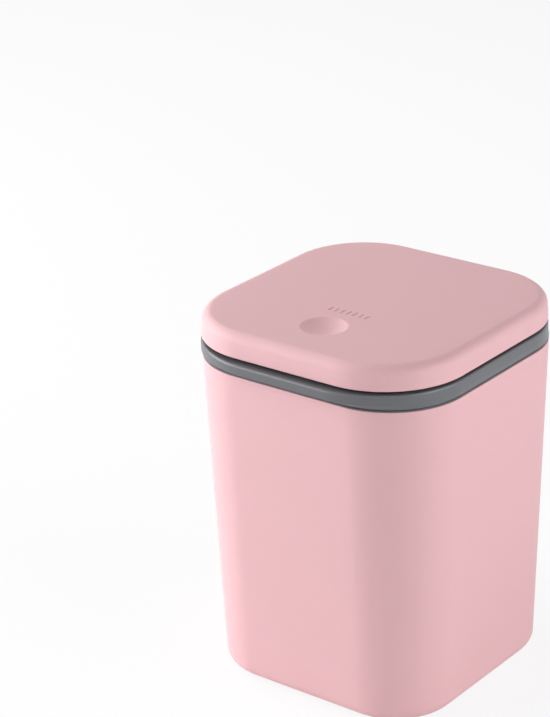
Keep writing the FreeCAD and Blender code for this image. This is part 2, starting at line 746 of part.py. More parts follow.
def build_striker():
    """The striker: a screwed plate with a stem and a wedge head that the jaws hold."""
    body = new_body("lid_striker")
    plate_z = lid_under_z - size.striker_boss_height - size.striker_plate
    plate = new_sketch(body, "plate", "XY_Plane", plate_z)
    plate_half = size.striker_plate_depth / 2
    plate_edge = size.striker_plate_half
    draw_box(plate, -plate_edge, plate_edge, latch_y - plate_half, latch_y + plate_half)
    extrude("Pad", plate, size.striker_plate)
    stem = new_sketch(body, "stem", "XZ_Plane", latch_reach)
    head_low_z = head_top_z - size.head_height
    draw_polygon(
        stem,
        [
            (-size.stem_half, plate_z),
            (-size.stem_half, head_top_z),
            (-size.head_half, head_top_z),
            (-size.stem_half, head_low_z),
            (size.stem_half, head_low_z),
            (size.head_half, head_top_z),
            (size.stem_half, head_top_z),
            (size.stem_half, plate_z),
        ],
    )
    extrude("Pad", stem, size.stem_depth, side="Symmetric")
    for side, x in (("left", -size.striker_screw_half), ("right", size.striker_screw_half)):
        hole = new_sketch(body, f"hole_{side}", "XY_Plane", plate_z)
        draw_circle(hole, x, latch_y, size.screw_radius + size.screw_clearance)
        extrude("Pocket", hole, size.striker_plate, backwards=True)
    return body


def arc_from_tangent(start, tangent_corner, end):
    """The circular arc from start to end whose end tangents meet at the given corner."""
    chord_middle = (start + end) * 0.5
    half_turn = math.acos(min(1.0, (end - start).Length / 2 / (tangent_corner - start).Length))
    share = math.tan(half_turn / 2) / math.tan(half_turn)
    return Part.Arc(start, chord_middle + (tangent_corner - chord_middle) * share, end)


def biarc(start, start_way, end, end_way):
    """Two tangent arcs from one point and direction to another."""
    span = end - start
    ways = start_way + end_way
    along = span.dot(ways)
    spread = 2 * (1 - start_way.dot(end_way))
    reach = (math.sqrt(along * along + spread * span.dot(span)) - along) / spread
    first_corner = start + start_way * reach
    last_corner = end - end_way * reach
    middle = (first_corner + last_corner) * 0.5
    return [arc_from_tangent(start, first_corner, middle), arc_from_tangent(middle, last_corner, end)]


def helix(radius, pitch, turns, start_angle, turn_way):
    """Points and directions of a helix about +Z, one for each quarter turn.

    A point at angle a is (radius cos a, radius sin a, pitch times turns made so far).
    """
    rows = []
    for quarter in range(int(round(turns * 4)) + 1):
        angle = start_angle + turn_way * quarter * math.pi / 2
        point = Vector(radius * math.cos(angle), radius * math.sin(angle), pitch * quarter / 4)
        circling = Vector(-math.sin(angle), math.cos(angle), 0) * turn_way
        way = circling * (FULL_TURN * radius) + Vector(0, 0, pitch)
        rows.append((point, way.normalize()))
    return rows


def wound_tube(rows, lead_in, lead_out, wire):
    """One unbroken tube along a helix with straight ends; its least gap to itself is printed."""
    first_point, first_way = rows[0]
    last_point, last_way = rows[-1]
    edges = [Part.LineSegment(first_point - first_way * lead_in, first_point)]
    for (start, start_way), (end, end_way) in zip(rows, rows[1:]):
        edges += biarc(start, start_way, end, end_way)
    edges.append(Part.LineSegment(last_point, last_point + last_way * lead_out))
    spine = Part.Wire([edge.toShape() for edge in edges])
    ring = Part.Circle(first_point - first_way * lead_in, first_way, wire / 2)
    tube = spine.makePipeShell([Part.Wire([ring.toShape()])], True, False)
    length = spine.Length
    step = wire / 2
    marks = spine.discretize(int(length / step) + 1)
    apart = int(math.pi * wire / step) + 1
    gap = min(
        (a - b).Length
        for index, a in enumerate(marks)
        for b in marks[index + apart:]
    ) - wire
    section = math.pi * wire * wire / 4
    share = tube.Volume / section / length
    print(f"wound tube: length {length:.1f}, least gap {gap:.2f}, volume share {share:.3f}")
    if gap < MINIMUM_COIL_GAP:
        raise RuntimeError("the turns of a spring lie too close together")
    return tube


def build_lid_spring():
    """The torsion spring on the hinge pin: one leg in the deck, the other under the lid."""
    radius = size.lid_coil_radius.value
    pitch = size.lid_coil_pitch.value
    wire = size.lid_wire.value
    rows = helix(radius, pitch, coil_turns.value, math.pi, -1)
    deck_leg = (hinge_z - deck_under_z).value - wire
    tube = wound_tube(rows, deck_leg, size.lid_leg_length.value, wire)
    spring = doc.addObject("Part::Feature", "lid_spring")
    spring.Shape = tube
    # the helix axis is laid along +X, with the helix's own X along +Y
    turn = FreeCAD.Rotation(Vector(0, 1, 0), Vector(0, 0, 1), Vector(1, 0, 0), "ZXY")
    corner = Vector(-coil_half.value, (hinge_y + footprint_shift).value, hinge_z.value)
    spring.Placement = FreeCAD.Placement(corner, turn)
    return spring


def build_catch_spring():
    """The compression spring under the slider."""
    wire = size.catch_wire.value
    low = (latch_floor_z + size.pin_fit).value + wire / 2
    high = (slider_low_z + size.spring_recess - size.spring_gap).value - wire / 2
    turns = size.catch_coil_turns.value
    rows = helix(size.catch_coil_radius.value, (high - low) / turns, turns, 0, 1)
    tube = wound_tube(rows, wire, wire, wire)
    spring = doc.addObject("Part::Feature", "latch_spring")
    spring.Shape = tube
    spring.Placement.Base = Vector(0, (latch_y + footprint_shift).value, low)
    return spring


def build_follower():
    """The cam follower: a bent wire with its foot in the housing wall and its tip in the track."""
    wire = size.follower_wire.value
    bend = size.follower_bend.value
    arm_y = -(slider_front - size.track_depth / 2 + size.slide_gap / 2).value
    foot_z = latch_floor_z.value + 2 * bend
    foot_start = Vector(0, -(cavity_front + size.latch_wall / 2).value, foot_z)
    foot_end = Vector(0, arm_y - bend, foot_z)
    tip_z = foot_z + size.follower_length.value
    arm_low = Vector(0, arm_y, foot_z + bend)
    arm_high = Vector(0, arm_y, tip_z)
    edges = [
        arc_from_tangent(foot_end, Vector(0, arm_y, foot_z), arm_low),
        Part.LineSegment(arm_low, arm_high),
    ]
    if foot_end.y - foot_start.y > POINT_TOLERANCE:
        edges.insert(0, Part.LineSegment(foot_start, foot_end))
    spine = Part.Wire([edge.toShape() for edge in edges])
    start = spine.OrderedVertexes[0].Point
    ring = Part.Circle(start, Vector(0, 1, 0), wire / 2)
    follower = doc.addObject("Part::Feature", "latch_follower")
    follower.Shape = spine.makePipeShell([Part.Wire([ring.toShape()])], True, False)
    follower.Placement.Base = Vector(0, footprint_shift.value, 0)
    return follower


pieces = [
    build_bin(),
    build_collar(),
    build_lid(),
    build_pin(),
    build_lid_spring(),
    build_housing(),
    build_cover(),
    build_slider(),
    build_jaw("latch_jaw_left", -1),
    build_jaw("latch_jaw_right", 1),
    build_jaw_pins(),
    build_catch_spring(),
    build_follower(),
    build_screws(
        "latch_screws",
        size.catch_screw_half,
        deck_under_z - size.flange_thickness - size.screw_head_height,
        land_z,
    ),
    build_striker(),
    build_screws(
        "striker_screws",
        size.striker_screw_half,
        lid_under_z - size.striker_boss_height - size.striker_plate - size.screw_head_height,
        lid_under_z - size.pin_fit,
    ),
]
doc.recompute()

failed = [item.Name for item in doc.Objects if {"Invalid", "Error"} & set(item.State)]
if failed:
    raise RuntimeError(f"objects that failed: {failed}")
for piece in pieces:
    if piece.Shape.isNull() or not piece.Shape.isValid() or not piece.Shape.Solids:
        raise RuntimeError(f"{piece.Label} has no valid shape")

os.makedirs("parts", exist_ok=True)
for piece in pieces:
    piece.Shape.exportStep(os.path.join("parts", f"{piece.Label}.step"))
    box = piece.Shape.optimalBoundingBox(False)
    print(
        f"{piece.Label}: {len(piece.Shape.Solids)} solid, {piece.Shape.Volume:.0f} mm3, "
        f"x {box.XMin:.2f} {box.XMax:.2f}, y {box.YMin:.2f} {box.YMax:.2f}, z {box.ZMin:.2f} {box.ZMax:.2f}"
    )
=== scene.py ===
"""A small push-lid waste bin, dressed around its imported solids.

Lengths in the classes are millimetres in the part's own frame: +Z up, front towards -Y.
Meshes are written in metres.
"""

import logging
import math
from dataclasses import dataclass, field, replace
from enum import Enum
from functools import cache

import bpy
import numpy as np
from mathutils import Matrix, Vector


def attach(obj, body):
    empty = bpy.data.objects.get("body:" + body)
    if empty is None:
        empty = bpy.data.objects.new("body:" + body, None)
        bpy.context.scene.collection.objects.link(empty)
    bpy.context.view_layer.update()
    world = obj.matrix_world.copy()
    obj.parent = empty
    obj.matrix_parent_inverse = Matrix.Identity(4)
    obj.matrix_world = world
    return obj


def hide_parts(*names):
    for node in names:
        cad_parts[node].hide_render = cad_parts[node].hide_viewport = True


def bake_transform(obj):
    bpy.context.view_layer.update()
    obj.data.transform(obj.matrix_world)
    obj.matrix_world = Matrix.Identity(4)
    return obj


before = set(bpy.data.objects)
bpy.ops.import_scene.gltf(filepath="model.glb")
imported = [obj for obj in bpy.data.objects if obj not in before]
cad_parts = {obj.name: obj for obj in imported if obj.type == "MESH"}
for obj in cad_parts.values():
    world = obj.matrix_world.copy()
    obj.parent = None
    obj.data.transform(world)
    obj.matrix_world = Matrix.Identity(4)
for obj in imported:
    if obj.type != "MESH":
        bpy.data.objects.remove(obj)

LOG = logging.getLogger("waste_bin")
MM = 0.001
QUARTER = math.pi / 2
SHARP_ANGLE = math.radians(32.0)
EASE_LIMIT = 0.33
EASE_GUARD = 1.4
BORE_STEPS = 20
BOSS_STEPS = 32
TONGUE_STEPS = 25
NOISE_MIDDLE = 0.5

Piece = bpy.types.Object
Node = bpy.types.Node
Socket = bpy.types.NodeSocket
Group = bpy.types.NodeTree


class Carve(Enum):
    """How one closed mesh changes another."""

    ADD = "UNION"
    CUT = "DIFFERENCE"


class Body(Enum):
    """The bodies that pieces ride on."""

    BIN = "bin"
    COLLAR = "collar"
    LID = "lid"
    SLIDER = "latch_slider"


class Slot(Enum):
    """The record's material slots."""

    BODY = "body_plastic"
    LID = "lid_plastic"
    COLLAR = "collar_plastic"
    SPRING = "spring_steel"


class Kind(Enum):
    """What a socket of a node group carries."""

    PLACE = "NodeSocketVector"
    COLOUR = "NodeSocketColor"
    VALUE = "NodeSocketFloat"


# Surfaces


@dataclass
class Surface:
    """Points in millimetres, with four-sided and three-sided faces that point outwards."""

    points: np.ndarray
    quads: np.ndarray = field(default_factory=lambda: np.zeros((0, 4), int))
    triangles: np.ndarray = field(default_factory=lambda: np.zeros((0, 3), int))

    def to_object(self, name: str) -> Piece:
        """Write the surface into a new object at the origin.

        Args:
            name: The piece's name.

        Returns:
            The linked object, smooth-shaded.
        """
        mesh = bpy.data.meshes.new(name)
        faces = self.quads.tolist() + self.triangles.tolist()
        mesh.from_pydata((self.points * MM).tolist(), [], faces)
        mesh.validate()
        piece = bpy.data.objects.new(name, mesh)
        bpy.context.scene.collection.objects.link(piece)
        soften(piece)
        return piece


def soften(piece: Piece) -> None:
    """Shade a piece smooth, with its steep edges kept sharp.

    Args:
        piece: The piece.
    """
    mesh = piece.data
    mesh.polygons.foreach_set("use_smooth", np.ones(len(mesh.polygons), bool))
    mesh.set_sharp_from_angle(angle=SHARP_ANGLE)
    mesh.update()


def grid_quads(rows: int, columns: int, wraps: bool) -> np.ndarray:
    """Faces of a grid whose columns close on themselves.

    Face (i, j) joins (i, j), (i, j + 1), (i + 1, j + 1) and (i + 1, j).

    Args:
        rows: The number of rings.
        columns: The number of points in a ring.
        wraps: Whether the last ring joins the first.

    Returns:
        Point numbers, four to a face.
    """
    ring = np.arange(rows if wraps else rows - 1)[:, None]
    place = np.arange(columns)[None, :]
    after = (place + 1) % columns
    low = ring * columns
    high = (ring + 1) % rows * columns
    return np.stack([low + place, low + after, high + after, high + place], axis=-1).reshape(-1, 4)


def ring_surface(rings: np.ndarray, wraps: bool = False) -> Surface:
    """A closed skin through rings of points; a skin that doesn't wrap is shut by a point at each end.

    The shutting point is the mean of its end ring.

    Args:
        rings: Points as (ring, place, xyz), each ring anticlockwise seen from its outer end.
        wraps: Whether the last ring joins the first.

    Returns:
        The skin.
    """
    rows, columns = rings.shape[:2]
    points = rings.reshape(-1, 3)
    quads = grid_quads(rows, columns, wraps)
    if wraps:
        return Surface(points, quads)
    place = np.arange(columns)
    after = (place + 1) % columns
    first, last = rows * columns, rows * columns + 1
    base = (rows - 1) * columns
    low = np.stack([after, place, np.full(columns, first)], axis=-1)
    high = np.stack([base + place, base + after, np.full(columns, last)], axis=-1)
    ends = np.stack([rings[0].mean(axis=0), rings[-1].mean(axis=0)])
    return Surface(np.concatenate([points, ends]), quads, np.concatenate([low, high]))


def prism(outline: np.ndarray, low: float, high: float) -> Surface:
    """An upright prism: the outline at two heights, shut by a point at each end.

    Args:
        outline: Points as (place, xy), anticlockwise.
        low: The lower height.
        high: The upper height.

    Returns:
        The closed prism.
    """
    count = len(outline)
    floor = np.column_stack([outline, np.full(count, low)])
    top = np.column_stack([outline, np.full(count, high)])
    return ring_surface(np.stack([floor, top]))


def turned(surface: Surface, matrix: Matrix) -> Surface:
    """A surface moved by a rotation and a shift."""
    turn = np.array(matrix)
    return Surface(surface.points @ turn[:3, :3].T + turn[:3, 3], surface.quads, surface.triangles)


def box(low: tuple[float, float, float], high: tuple[float, float, float]) -> Surface:
    """A straight box between two corners."""
    outline = np.array([(low[0], low[1]), (high[0], low[1]), (high[0], high[1]), (low[0], high[1])])
    return prism(outline, low[2], high[2])


def disc(x: float, y: float, radius: float, count: int) -> np.ndarray:
    """Points on a circle: the centre plus the radius times (cos a, sin a)."""
    angle = np.linspace(0.0, 2 * math.pi, count, endpoint=False)
    return np.column_stack([x + radius * np.cos(angle), y + radius * np.sin(angle)])


def along_x(x: float, y: float, z: float) -> Matrix:
    """Axes that lay an upright shape along X, with its foot at a point."""
    return Matrix(((0, 0, 1, x), (1, 0, 0, y), (0, 1, 0, z), (0, 0, 0, 1)))


def together(surfaces: list[Surface]) -> Surface:
    """Several surfaces as one: each one's point numbers are shifted past the points before it.

    Args:
        surfaces: The surfaces, in order.

    Returns:
        A new surface that holds the faces of all.
    """
    counts = [len(surface.points) for surface in surfaces]
    shifted = list(zip(surfaces, np.cumsum([0, *counts[:-1]])))
    return Surface(
        np.concatenate([surface.points for surface in surfaces]),
        np.concatenate([surface.quads + shift for surface, shift in shifted]),
        np.concatenate([surface.triangles + shift for surface, shift in shifted]),
    )


def carve(piece: Piece, tool: Surface, way: Carve) -> None:
    """Add a closed surface to a piece, or cut it away, and keep the result as the piece's mesh.

    Args:
        piece: The piece to change.
        tool: The closed surface.
        way: Add or cut.
    """
    helper = tool.to_object(f"{piece.name}_tool")
    change = piece.modifiers.new("carve", "BOOLEAN")
    change.operation = way.value
    change.solver = "EXACT"
    change.object = helper
    graph = bpy.context.evaluated_depsgraph_get()
    result = bpy.data.meshes.new_from_object(piece.evaluated_get(graph))
    piece.modifiers.clear()
    old = piece.data
    name = old.name
    piece.data = result
    bpy.data.meshes.remove(old)
    result.name = name
    tool_mesh = helper.data
    bpy.data.objects.remove(helper)
    bpy.data.meshes.remove(tool_mesh)
    soften(piece)


# Rounded outlines


@dataclass(frozen=True)
class Outline:
    """A rounded rectangle: half width, reach to the front and rear, front and rear corner radius."""

    half: float
    front: float
    rear: float
    corner: float
    rear_corner: float

    def lengths(self) -> tuple[float, ...]:
        """The five lengths in order."""
        return self.half, self.front, self.rear, self.corner, self.rear_corner

    def inset(self, depth: float) -> "Outline":
        """The outline drawn in by one depth all round."""
        return Outline(*(length - depth for length in self.lengths()))


@dataclass(frozen=True)
class Station:
    """One corner of a wall's section: an outline at a height, with its edge eased over a length."""

    outline: Outline
    height: float
    ease: float = 0.0

    def row(self) -> np.ndarray:
        """The outline's five lengths and the height."""
        return np.array([*self.outline.lengths(), self.height])


class RoundedPath:
    """Places around a rounded rectangle, the same for every ring of a surface.

    A place is a mix of the four corner centres plus the corner radius along (cos a, sin a). On an
    arc the mix is one centre and the angle runs; on a side the angle rests and the mix runs.
    """

    def __init__(self, per_corner: int, per_side: int, axis_y: float) -> None:
        """Lay out the places.

        Args:
            per_corner: Steps on each arc.
            per_side: Steps on each straight side.
            axis_y: Where the outlines' own axis stands along Y.
        """
        share = np.linspace(0.0, 1.0, per_side + 1)[1:-1]
        arc = np.linspace(-QUARTER, 0.0, per_corner + 1)
        mixes, angles = [], []
        for corner in range(4):
            here, after = np.eye(4)[corner], np.eye(4)[(corner + 1) % 4]
            mixes += [np.tile(here, (len(arc), 1)), np.outer(1 - share, here) + np.outer(share, after)]
            angles += [arc + corner * QUARTER, np.full(len(share), corner * QUARTER)]
        self.mix = np.concatenate(mixes)
        turn = np.concatenate(angles)
        self.way = np.column_stack([np.cos(turn), np.sin(turn)])
        self.axis_y = axis_y

    def rings(self, rows: np.ndarray) -> np.ndarray:
        """Rings of points for a table of outlines and heights.

        Args:
            rows: One line per ring: half, front, rear, front corner, rear corner, height.

        Returns:
            Points as (ring, place, xyz).
        """
        half, front, rear, corner, rear_corner, height = rows.T
        radius = np.stack([corner, rear_corner, rear_corner, corner], axis=-1)
        centre_x = (half[:, None] - radius) * np.array([1, 1, -1, -1])
        near, far = corner - front, rear - rear_corner
        centre_y = np.stack([near, far, far, near], axis=-1) + self.axis_y
        spread = radius @ self.mix.T
        x = centre_x @ self.mix.T + spread * self.way[:, 0]
        y = centre_y @ self.mix.T + spread * self.way[:, 1]
        z = np.broadcast_to(height[:, None], x.shape)
        return np.stack([x, y, z], axis=-1)


def eased(stations: list[Station], steps: int, closed: bool = False) -> np.ndarray:
    """A section with its corners eased.

    Each eased corner V between A and B becomes the curve (1-t)^2 A + 2 t (1-t) V + t^2 B, where A
    and B lie on the two sides at the easing length, with one more point a little way off on each.
    The easing length takes no more than about a third of a side.

    Args:
        stations: The section's corners in order.
        steps: Steps on each eased corner.
        closed: Whether the section runs on from its last corner to its first.

    Returns:
        One line per ring: the outline's lengths and the height.
    """
    table = np.stack([station.row() for station in stations])
    before = np.roll(table, 1, axis=0)
    after = np.roll(table, -1, axis=0)
    t = np.linspace(0.0, 1.0, steps + 1)[:, None]
    lines = []
    for index, station in enumerate(stations):
        corner = table[index]
        at_end = not closed and index in (0, len(stations) - 1)
        if at_end or station.ease == 0.0:
            lines.append(corner[None, :])
            continue
        reach = []
        for other in (before[index], after[index]):
            step = other - corner
            span = math.hypot(np.abs(step[:3]).max(), step[-1])
            reach.append(step * min(station.ease / span, EASE_LIMIT))
        start, end = corner + reach[0], corner + reach[1]
        curve = (1 - t) ** 2 * start + 2 * t * (1 - t) * corner + t**2 * end
        guards = [(corner + EASE_GUARD * way)[None, :] for way in reach]
        lines += [guards[0], curve, guards[1]]
    return np.concatenate(lines)


def arc_stations(
    outline: Outline, inset: float, height: float, radius: float, angles: np.ndarray
) -> list[Station]:
    """Stations on a round edge.

    At angle a the outline is drawn in by inset - radius cos a, at height + radius sin a.

    Args:
        outline: The outline that the edge is counted from.
        inset: How far in the round's centre lies.
        height: The height of the round's centre.
        radius: The round's radius.
        angles: The angles, in order.

    Returns:
        One station per angle.
    """
    return [
        Station(outline.inset(inset - radius * math.cos(a)), height + radius * math.sin(a)) for a in angles
    ]


# Finishes


class NodeTree:
    """A node tree being written: it adds nodes and links their sockets."""

    def __init__(self, tree: Group) -> None:
        """Take an empty or fresh tree."""
        self.tree = tree

    def add(self, kind: str, **settings: object) -> Node:
        """Add a node and set its plain properties.

        Args:
            kind: The node's type.
            settings: Properties and their values.

        Returns:
            The node.
        """
        node = self.tree.nodes.new(kind)
        for key, value in settings.items():
            setattr(node, key, value)
        return node

    def link(self, start: Socket, end: Socket) -> None:
        """Join an output to an input."""
        self.tree.links.new(start, end)

    def feed(self, value: object, socket: Socket) -> None:
        """Give an input its value.

        Args:
            value: A socket to link or a number to set.
            socket: The input.
        """
        if isinstance(value, Socket):
            self.link(value, socket)
        else:
            socket.default_value = value

    def math(self, way: str, first: object, second: object) -> Socket:
        """A Math node on two sockets or numbers.

        Args:
            way: The operation.
            first: A socket or a number.
            second: A socket or a number.

        Returns:
            The node's output.
        """
        node = self.add("ShaderNodeMath", operation=way)
        self.feed(first, node.inputs[0])
        self.feed(second, node.inputs[1])
        return node.outputs[0]

    def noise(self, place: Socket, scale: object, detail: float) -> Socket:
        """A noise value from 0 to 1.

        Args:
            place: Where it is read.
            scale: A socket or a number.
            detail: How many finer layers it has.

        Returns:
            The noise.
        """
        node = self.add("ShaderNodeTexNoise")
        node.inputs["Detail"].default_value = detail
        self.link(place, node.inputs["Vector"])
        self.feed(scale, node.inputs["Scale"])
        return node.outputs["Fac"]

    def about(self, middle: object, noise: Socket, swing: object) -> Socket:
        """A value that a noise swings: middle + swing * (noise - its own middle)."""
        off = self.math("SUBTRACT", noise, NOISE_MIDDLE)
        return self.math("ADD", self.math("MULTIPLY", off, swing), middle)

    def group(self, tree: Group, place: Socket, values: dict[str, object]) -> Node:
        """Add a group with its own values.

        Args:
            tree: The group.
            place: Where its patterns are read.
            values: Numbers and colours by the name of their socket.

        Returns:
            The group's node.
        """
        node = self.add("ShaderNodeGroup", node_tree=tree)
        self.link(place, node.inputs["Place"])
        for label, value in values.items():
            node.inputs[label].default_value = value
        return node


@dataclass(frozen=True)
class Noise:
    """One noise of an effect: its scale, its detail and how much it counts."""

    scale: float
    detail: float
    weight: float = 1.0


class Effects:
    """Node groups that more than one finish uses, each built once."""

    drift: Noise = Noise(24.0, 2.0)
    ripple: Noise = Noise(40.0, 1.0, 0.6)
    rub: Noise = Noise(60.0, 4.0, 0.6)
    line: Noise = Noise(4200.0, 3.0)
    line_stretch: tuple[float, float, float] = (0.06, 1.0, 1.0)
    grain_detail: float = 2.0
    grain_weight: float = 0.4

    @staticmethod
    def fresh(
        name: str, inputs: dict[str, Kind], outputs: dict[str, Kind]
    ) -> tuple[NodeTree, Node, Node]:
        """An empty group with its sockets.

        Args:
            name: The group's name.
            inputs: Socket names and what they carry.
            outputs: Socket names and what they carry.

        Returns:
            The group's tree, its input node and its output node.
        """
        tree = bpy.data.node_groups.new(name, "ShaderNodeTree")
        for way, sockets in (("INPUT", inputs), ("OUTPUT", outputs)):
            for label, kind in sockets.items():
                tree.interface.new_socket(label, in_out=way, socket_type=kind.value)
        net = NodeTree(tree)
        return net, net.add("NodeGroupInput"), net.add("NodeGroupOutput")

    @staticmethod
    @cache
    def tone_drift() -> Group:
        """Slow change of tone: the colour times 1 plus a share of a wide noise about its middle.

        Returns:
            The group.
        """
        net, start, end = Effects.fresh(
            "tone_drift",
            {"Place": Kind.PLACE, "Colour": Kind.COLOUR, "Share": Kind.VALUE},
            {"Colour": Kind.COLOUR},
        )
        wide = net.noise(start.outputs["Place"], Effects.drift.scale, Effects.drift.detail)
        gain = net.about(1.0, wide, start.outputs["Share"])
        scale = net.add("ShaderNodeVectorMath", operation="SCALE")
        net.link(start.outputs["Colour"], scale.inputs[0])
        net.link(gain, scale.inputs["Scale"])
        net.link(scale.outputs["Vector"], end.inputs["Colour"])
        return net.tree

    @staticmethod
    @cache
    def moulded_grain() -> Group:
        """Fine spark-eroded grain with a faint long ripple: a height, and a roughness about a middle.

        Returns:
            The group.
        """
        net, start, end = Effects.fresh(
            "moulded_grain",
            {"Place": Kind.PLACE, "Grain": Kind.VALUE, "Middle": Kind.VALUE, "Swing": Kind.VALUE},
            {"Height": Kind.VALUE, "Roughness": Kind.VALUE},
        )
        place = start.outputs["Place"]
        ripple, rub = Effects.ripple, Effects.rub
        fine = net.noise(place, start.outputs["Grain"], Effects.grain_detail)
        long = net.math("MULTIPLY", net.noise(place, ripple.scale, ripple.detail), ripple.weight)
        net.link(net.math("ADD", fine, long), end.inputs["Height"])
        rubbed = net.math("MULTIPLY", net.noise(place, rub.scale, rub.detail), rub.weight)
        both = net.math("ADD", net.math("MULTIPLY", fine, Effects.grain_weight), rubbed)
        rough = net.about(start.outputs["Middle"], both, start.outputs["Swing"])
        net.link(rough, end.inputs["Roughness"])
        return net.tree

    @staticmethod
    @cache
    def drawn_lines() -> Group:
        """Fine lines along one way, as drawing or turning leaves them: a height and a roughness.

        Returns:
            The group.
        """
        net, start, end = Effects.fresh(
            "drawn_lines",
            {"Place": Kind.PLACE, "Middle": Kind.VALUE, "Swing": Kind.VALUE},
            {"Height": Kind.VALUE, "Roughness": Kind.VALUE},
        )
        stretch = net.add("ShaderNodeMapping")
        stretch.inputs["Scale"].default_value = Effects.line_stretch
        net.link(start.outputs["Place"], stretch.inputs["Vector"])
        lines = net.noise(stretch.outputs["Vector"], Effects.line.scale, Effects.line.detail)
        net.link(lines, end.inputs["Height"])
        rough = net.about(start.outputs["Middle"], lines, start.outputs["Swing"])
        net.link(rough, end.inputs["Roughness"])
        return net.tree


@dataclass(frozen=True)
class Finish:
    """A finish with its colour, gloss and surface detail.

    The tone drift feeds Base Color, and the detail group feeds Roughness and a Bump for Normal.
    """

    name: str
    colour: tuple[float, float, float]
    roughness: float
    roughness_swing: float
    tone_share: float
    relief: float
    specular: float = 0.5
    subsurface: float = 0.0

    def detail(self, net: NodeTree, place: Socket) -> Node:
        """Add the group that gives this finish its relief and roughness."""
        raise NotImplementedError

    def material(self) -> bpy.types.Material:
        """The finish as a material, made once.

        Returns:
            The material.
        """
        if self.name in bpy.data.materials:
            return bpy.data.materials[self.name]
        material = bpy.data.materials.new(self.name)
        material.use_nodes = True
        net = NodeTree(material.node_tree)
        shader = next(node for node in net.tree.nodes if node.type == "BSDF_PRINCIPLED")
        place = net.add("ShaderNodeTexCoord").outputs["Object"]
        drift = {"Colour": (*self.colour, 1.0), "Share": self.tone_share}
        tone = net.group(Effects.tone_drift(), place, drift)
        net.link(tone.outputs["Colour"], shader.inputs["Base Color"])
        detail = self.detail(net, place)
        net.link(detail.outputs["Roughness"], shader.inputs["Roughness"])
        bump = net.add("ShaderNodeBump")
        bump.inputs["Distance"].default_value = self.relief * MM
        net.link(detail.outputs["Height"], bump.inputs["Height"])
        net.link(bump.outputs["Normal"], shader.inputs["Normal"])
        shader.inputs["Specular IOR Level"].default_value = self.specular
        self.shade(shader)
        return material

    def shade(self, shader: Node) -> None:
        """Set what is the same all over the surface."""
        raise NotImplementedError


@dataclass(frozen=True)
class MouldedPlastic(Finish):
    """Injection-moulded plastic: fine grain, slow drift of tone, a little light under the skin."""

    grain: float = 1800.0
    glow_radii: tuple[float, float, float] = (1.0, 0.5, 0.5)

    def detail(self, net: NodeTree, place: Socket) -> Node:
        """Add the moulded grain."""
        values = {"Grain": self.grain, "Middle": self.roughness, "Swing": self.roughness_swing}
        return net.group(Effects.moulded_grain(), place, values)

    def shade(self, shader: Node) -> None:
        """Set the light under the skin.

        Args:
            shader: The finish's shader.
        """
        shader.inputs["Subsurface Weight"].default_value = self.subsurface
        shader.inputs["Subsurface Radius"].default_value = self.glow_radii
        shader.inputs["Subsurface Scale"].default_value = MM


@dataclass(frozen=True)
class DrawnSteel(Finish):
    """Drawn or turned steel with fine lines along it."""

    def detail(self, net: NodeTree, place: Socket) -> Node:
        """Add the drawn lines."""
        values = {"Middle": self.roughness, "Swing": self.roughness_swing}
        return net.group(Effects.drawn_lines(), place, values)

    def shade(self, shader: Node) -> None:
        """Make the shader a metal."""
        shader.inputs["Metallic"].default_value = 1.0


PINK_BODY = MouldedPlastic(
    name="pink_polypropylene",
    colour=(0.742, 0.452, 0.477),
    roughness=0.54,
    roughness_swing=0.10,
    tone_share=0.03,
    relief=0.002,
    specular=0.34,
    subsurface=0.06,
)
PINK_LID = replace(PINK_BODY, name="pink_lid_polypropylene")
GREY_COLLAR = MouldedPlastic(
    name="grey_collar_plastic",
    colour=(0.126, 0.130, 0.141),
    roughness=0.38,
    roughness_swing=0.05,
    tone_share=0.04,
    relief=0.0004,
)
DARK_CATCH = MouldedPlastic(
    name="dark_catch_plastic",
    colour=(0.11, 0.113, 0.12),
    roughness=0.45,
    roughness_swing=0.12,
    tone_share=0.05,
    relief=0.006,
)
NATURAL_ACETAL = MouldedPlastic(
    name="natural_acetal",
    colour=(0.72, 0.72, 0.69),
    roughness=0.38,
    roughness_swing=0.10,
    tone_share=0.04,
    relief=0.004,
    subsurface=0.1,
)
PLATED_STEEL = DrawnSteel(
    name="plated_steel",
    colour=(0.62, 0.62, 0.63),
    roughness=0.30,
    roughness_swing=0.16,
    tone_share=0.05,
    relief=0.002,
)
SPRING_WIRE = DrawnSteel(
    name="spring_wire",
    colour=(0.50, 0.50, 0.52),
    roughness=0.28,
    roughness_swing=0.14,
    tone_share=0.05,
    relief=0.002,
)


def dress(piece: Piece, finish: Finish) -> None:
    """Give a piece one finish.

    Args:
        piece: A new piece or a node of the frame.
        finish: The finish.
    """
    material = finish.material()
    if not piece.material_slots:
        piece.data.materials.append(material)
    for slot in piece.material_slots:
        slot.material = material


def settle(piece: Piece, body: Body, slot: Slot, *nodes: str) -> None:
    """Let a piece ride on a body and stand for nodes.

    Args:
        piece: The piece.
        body: The body that it moves with.
        slot: The record's material slot; not used.
        nodes: The solids that it stands for.
    """
    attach(piece, body.value)
    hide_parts(*nodes)


# The bin


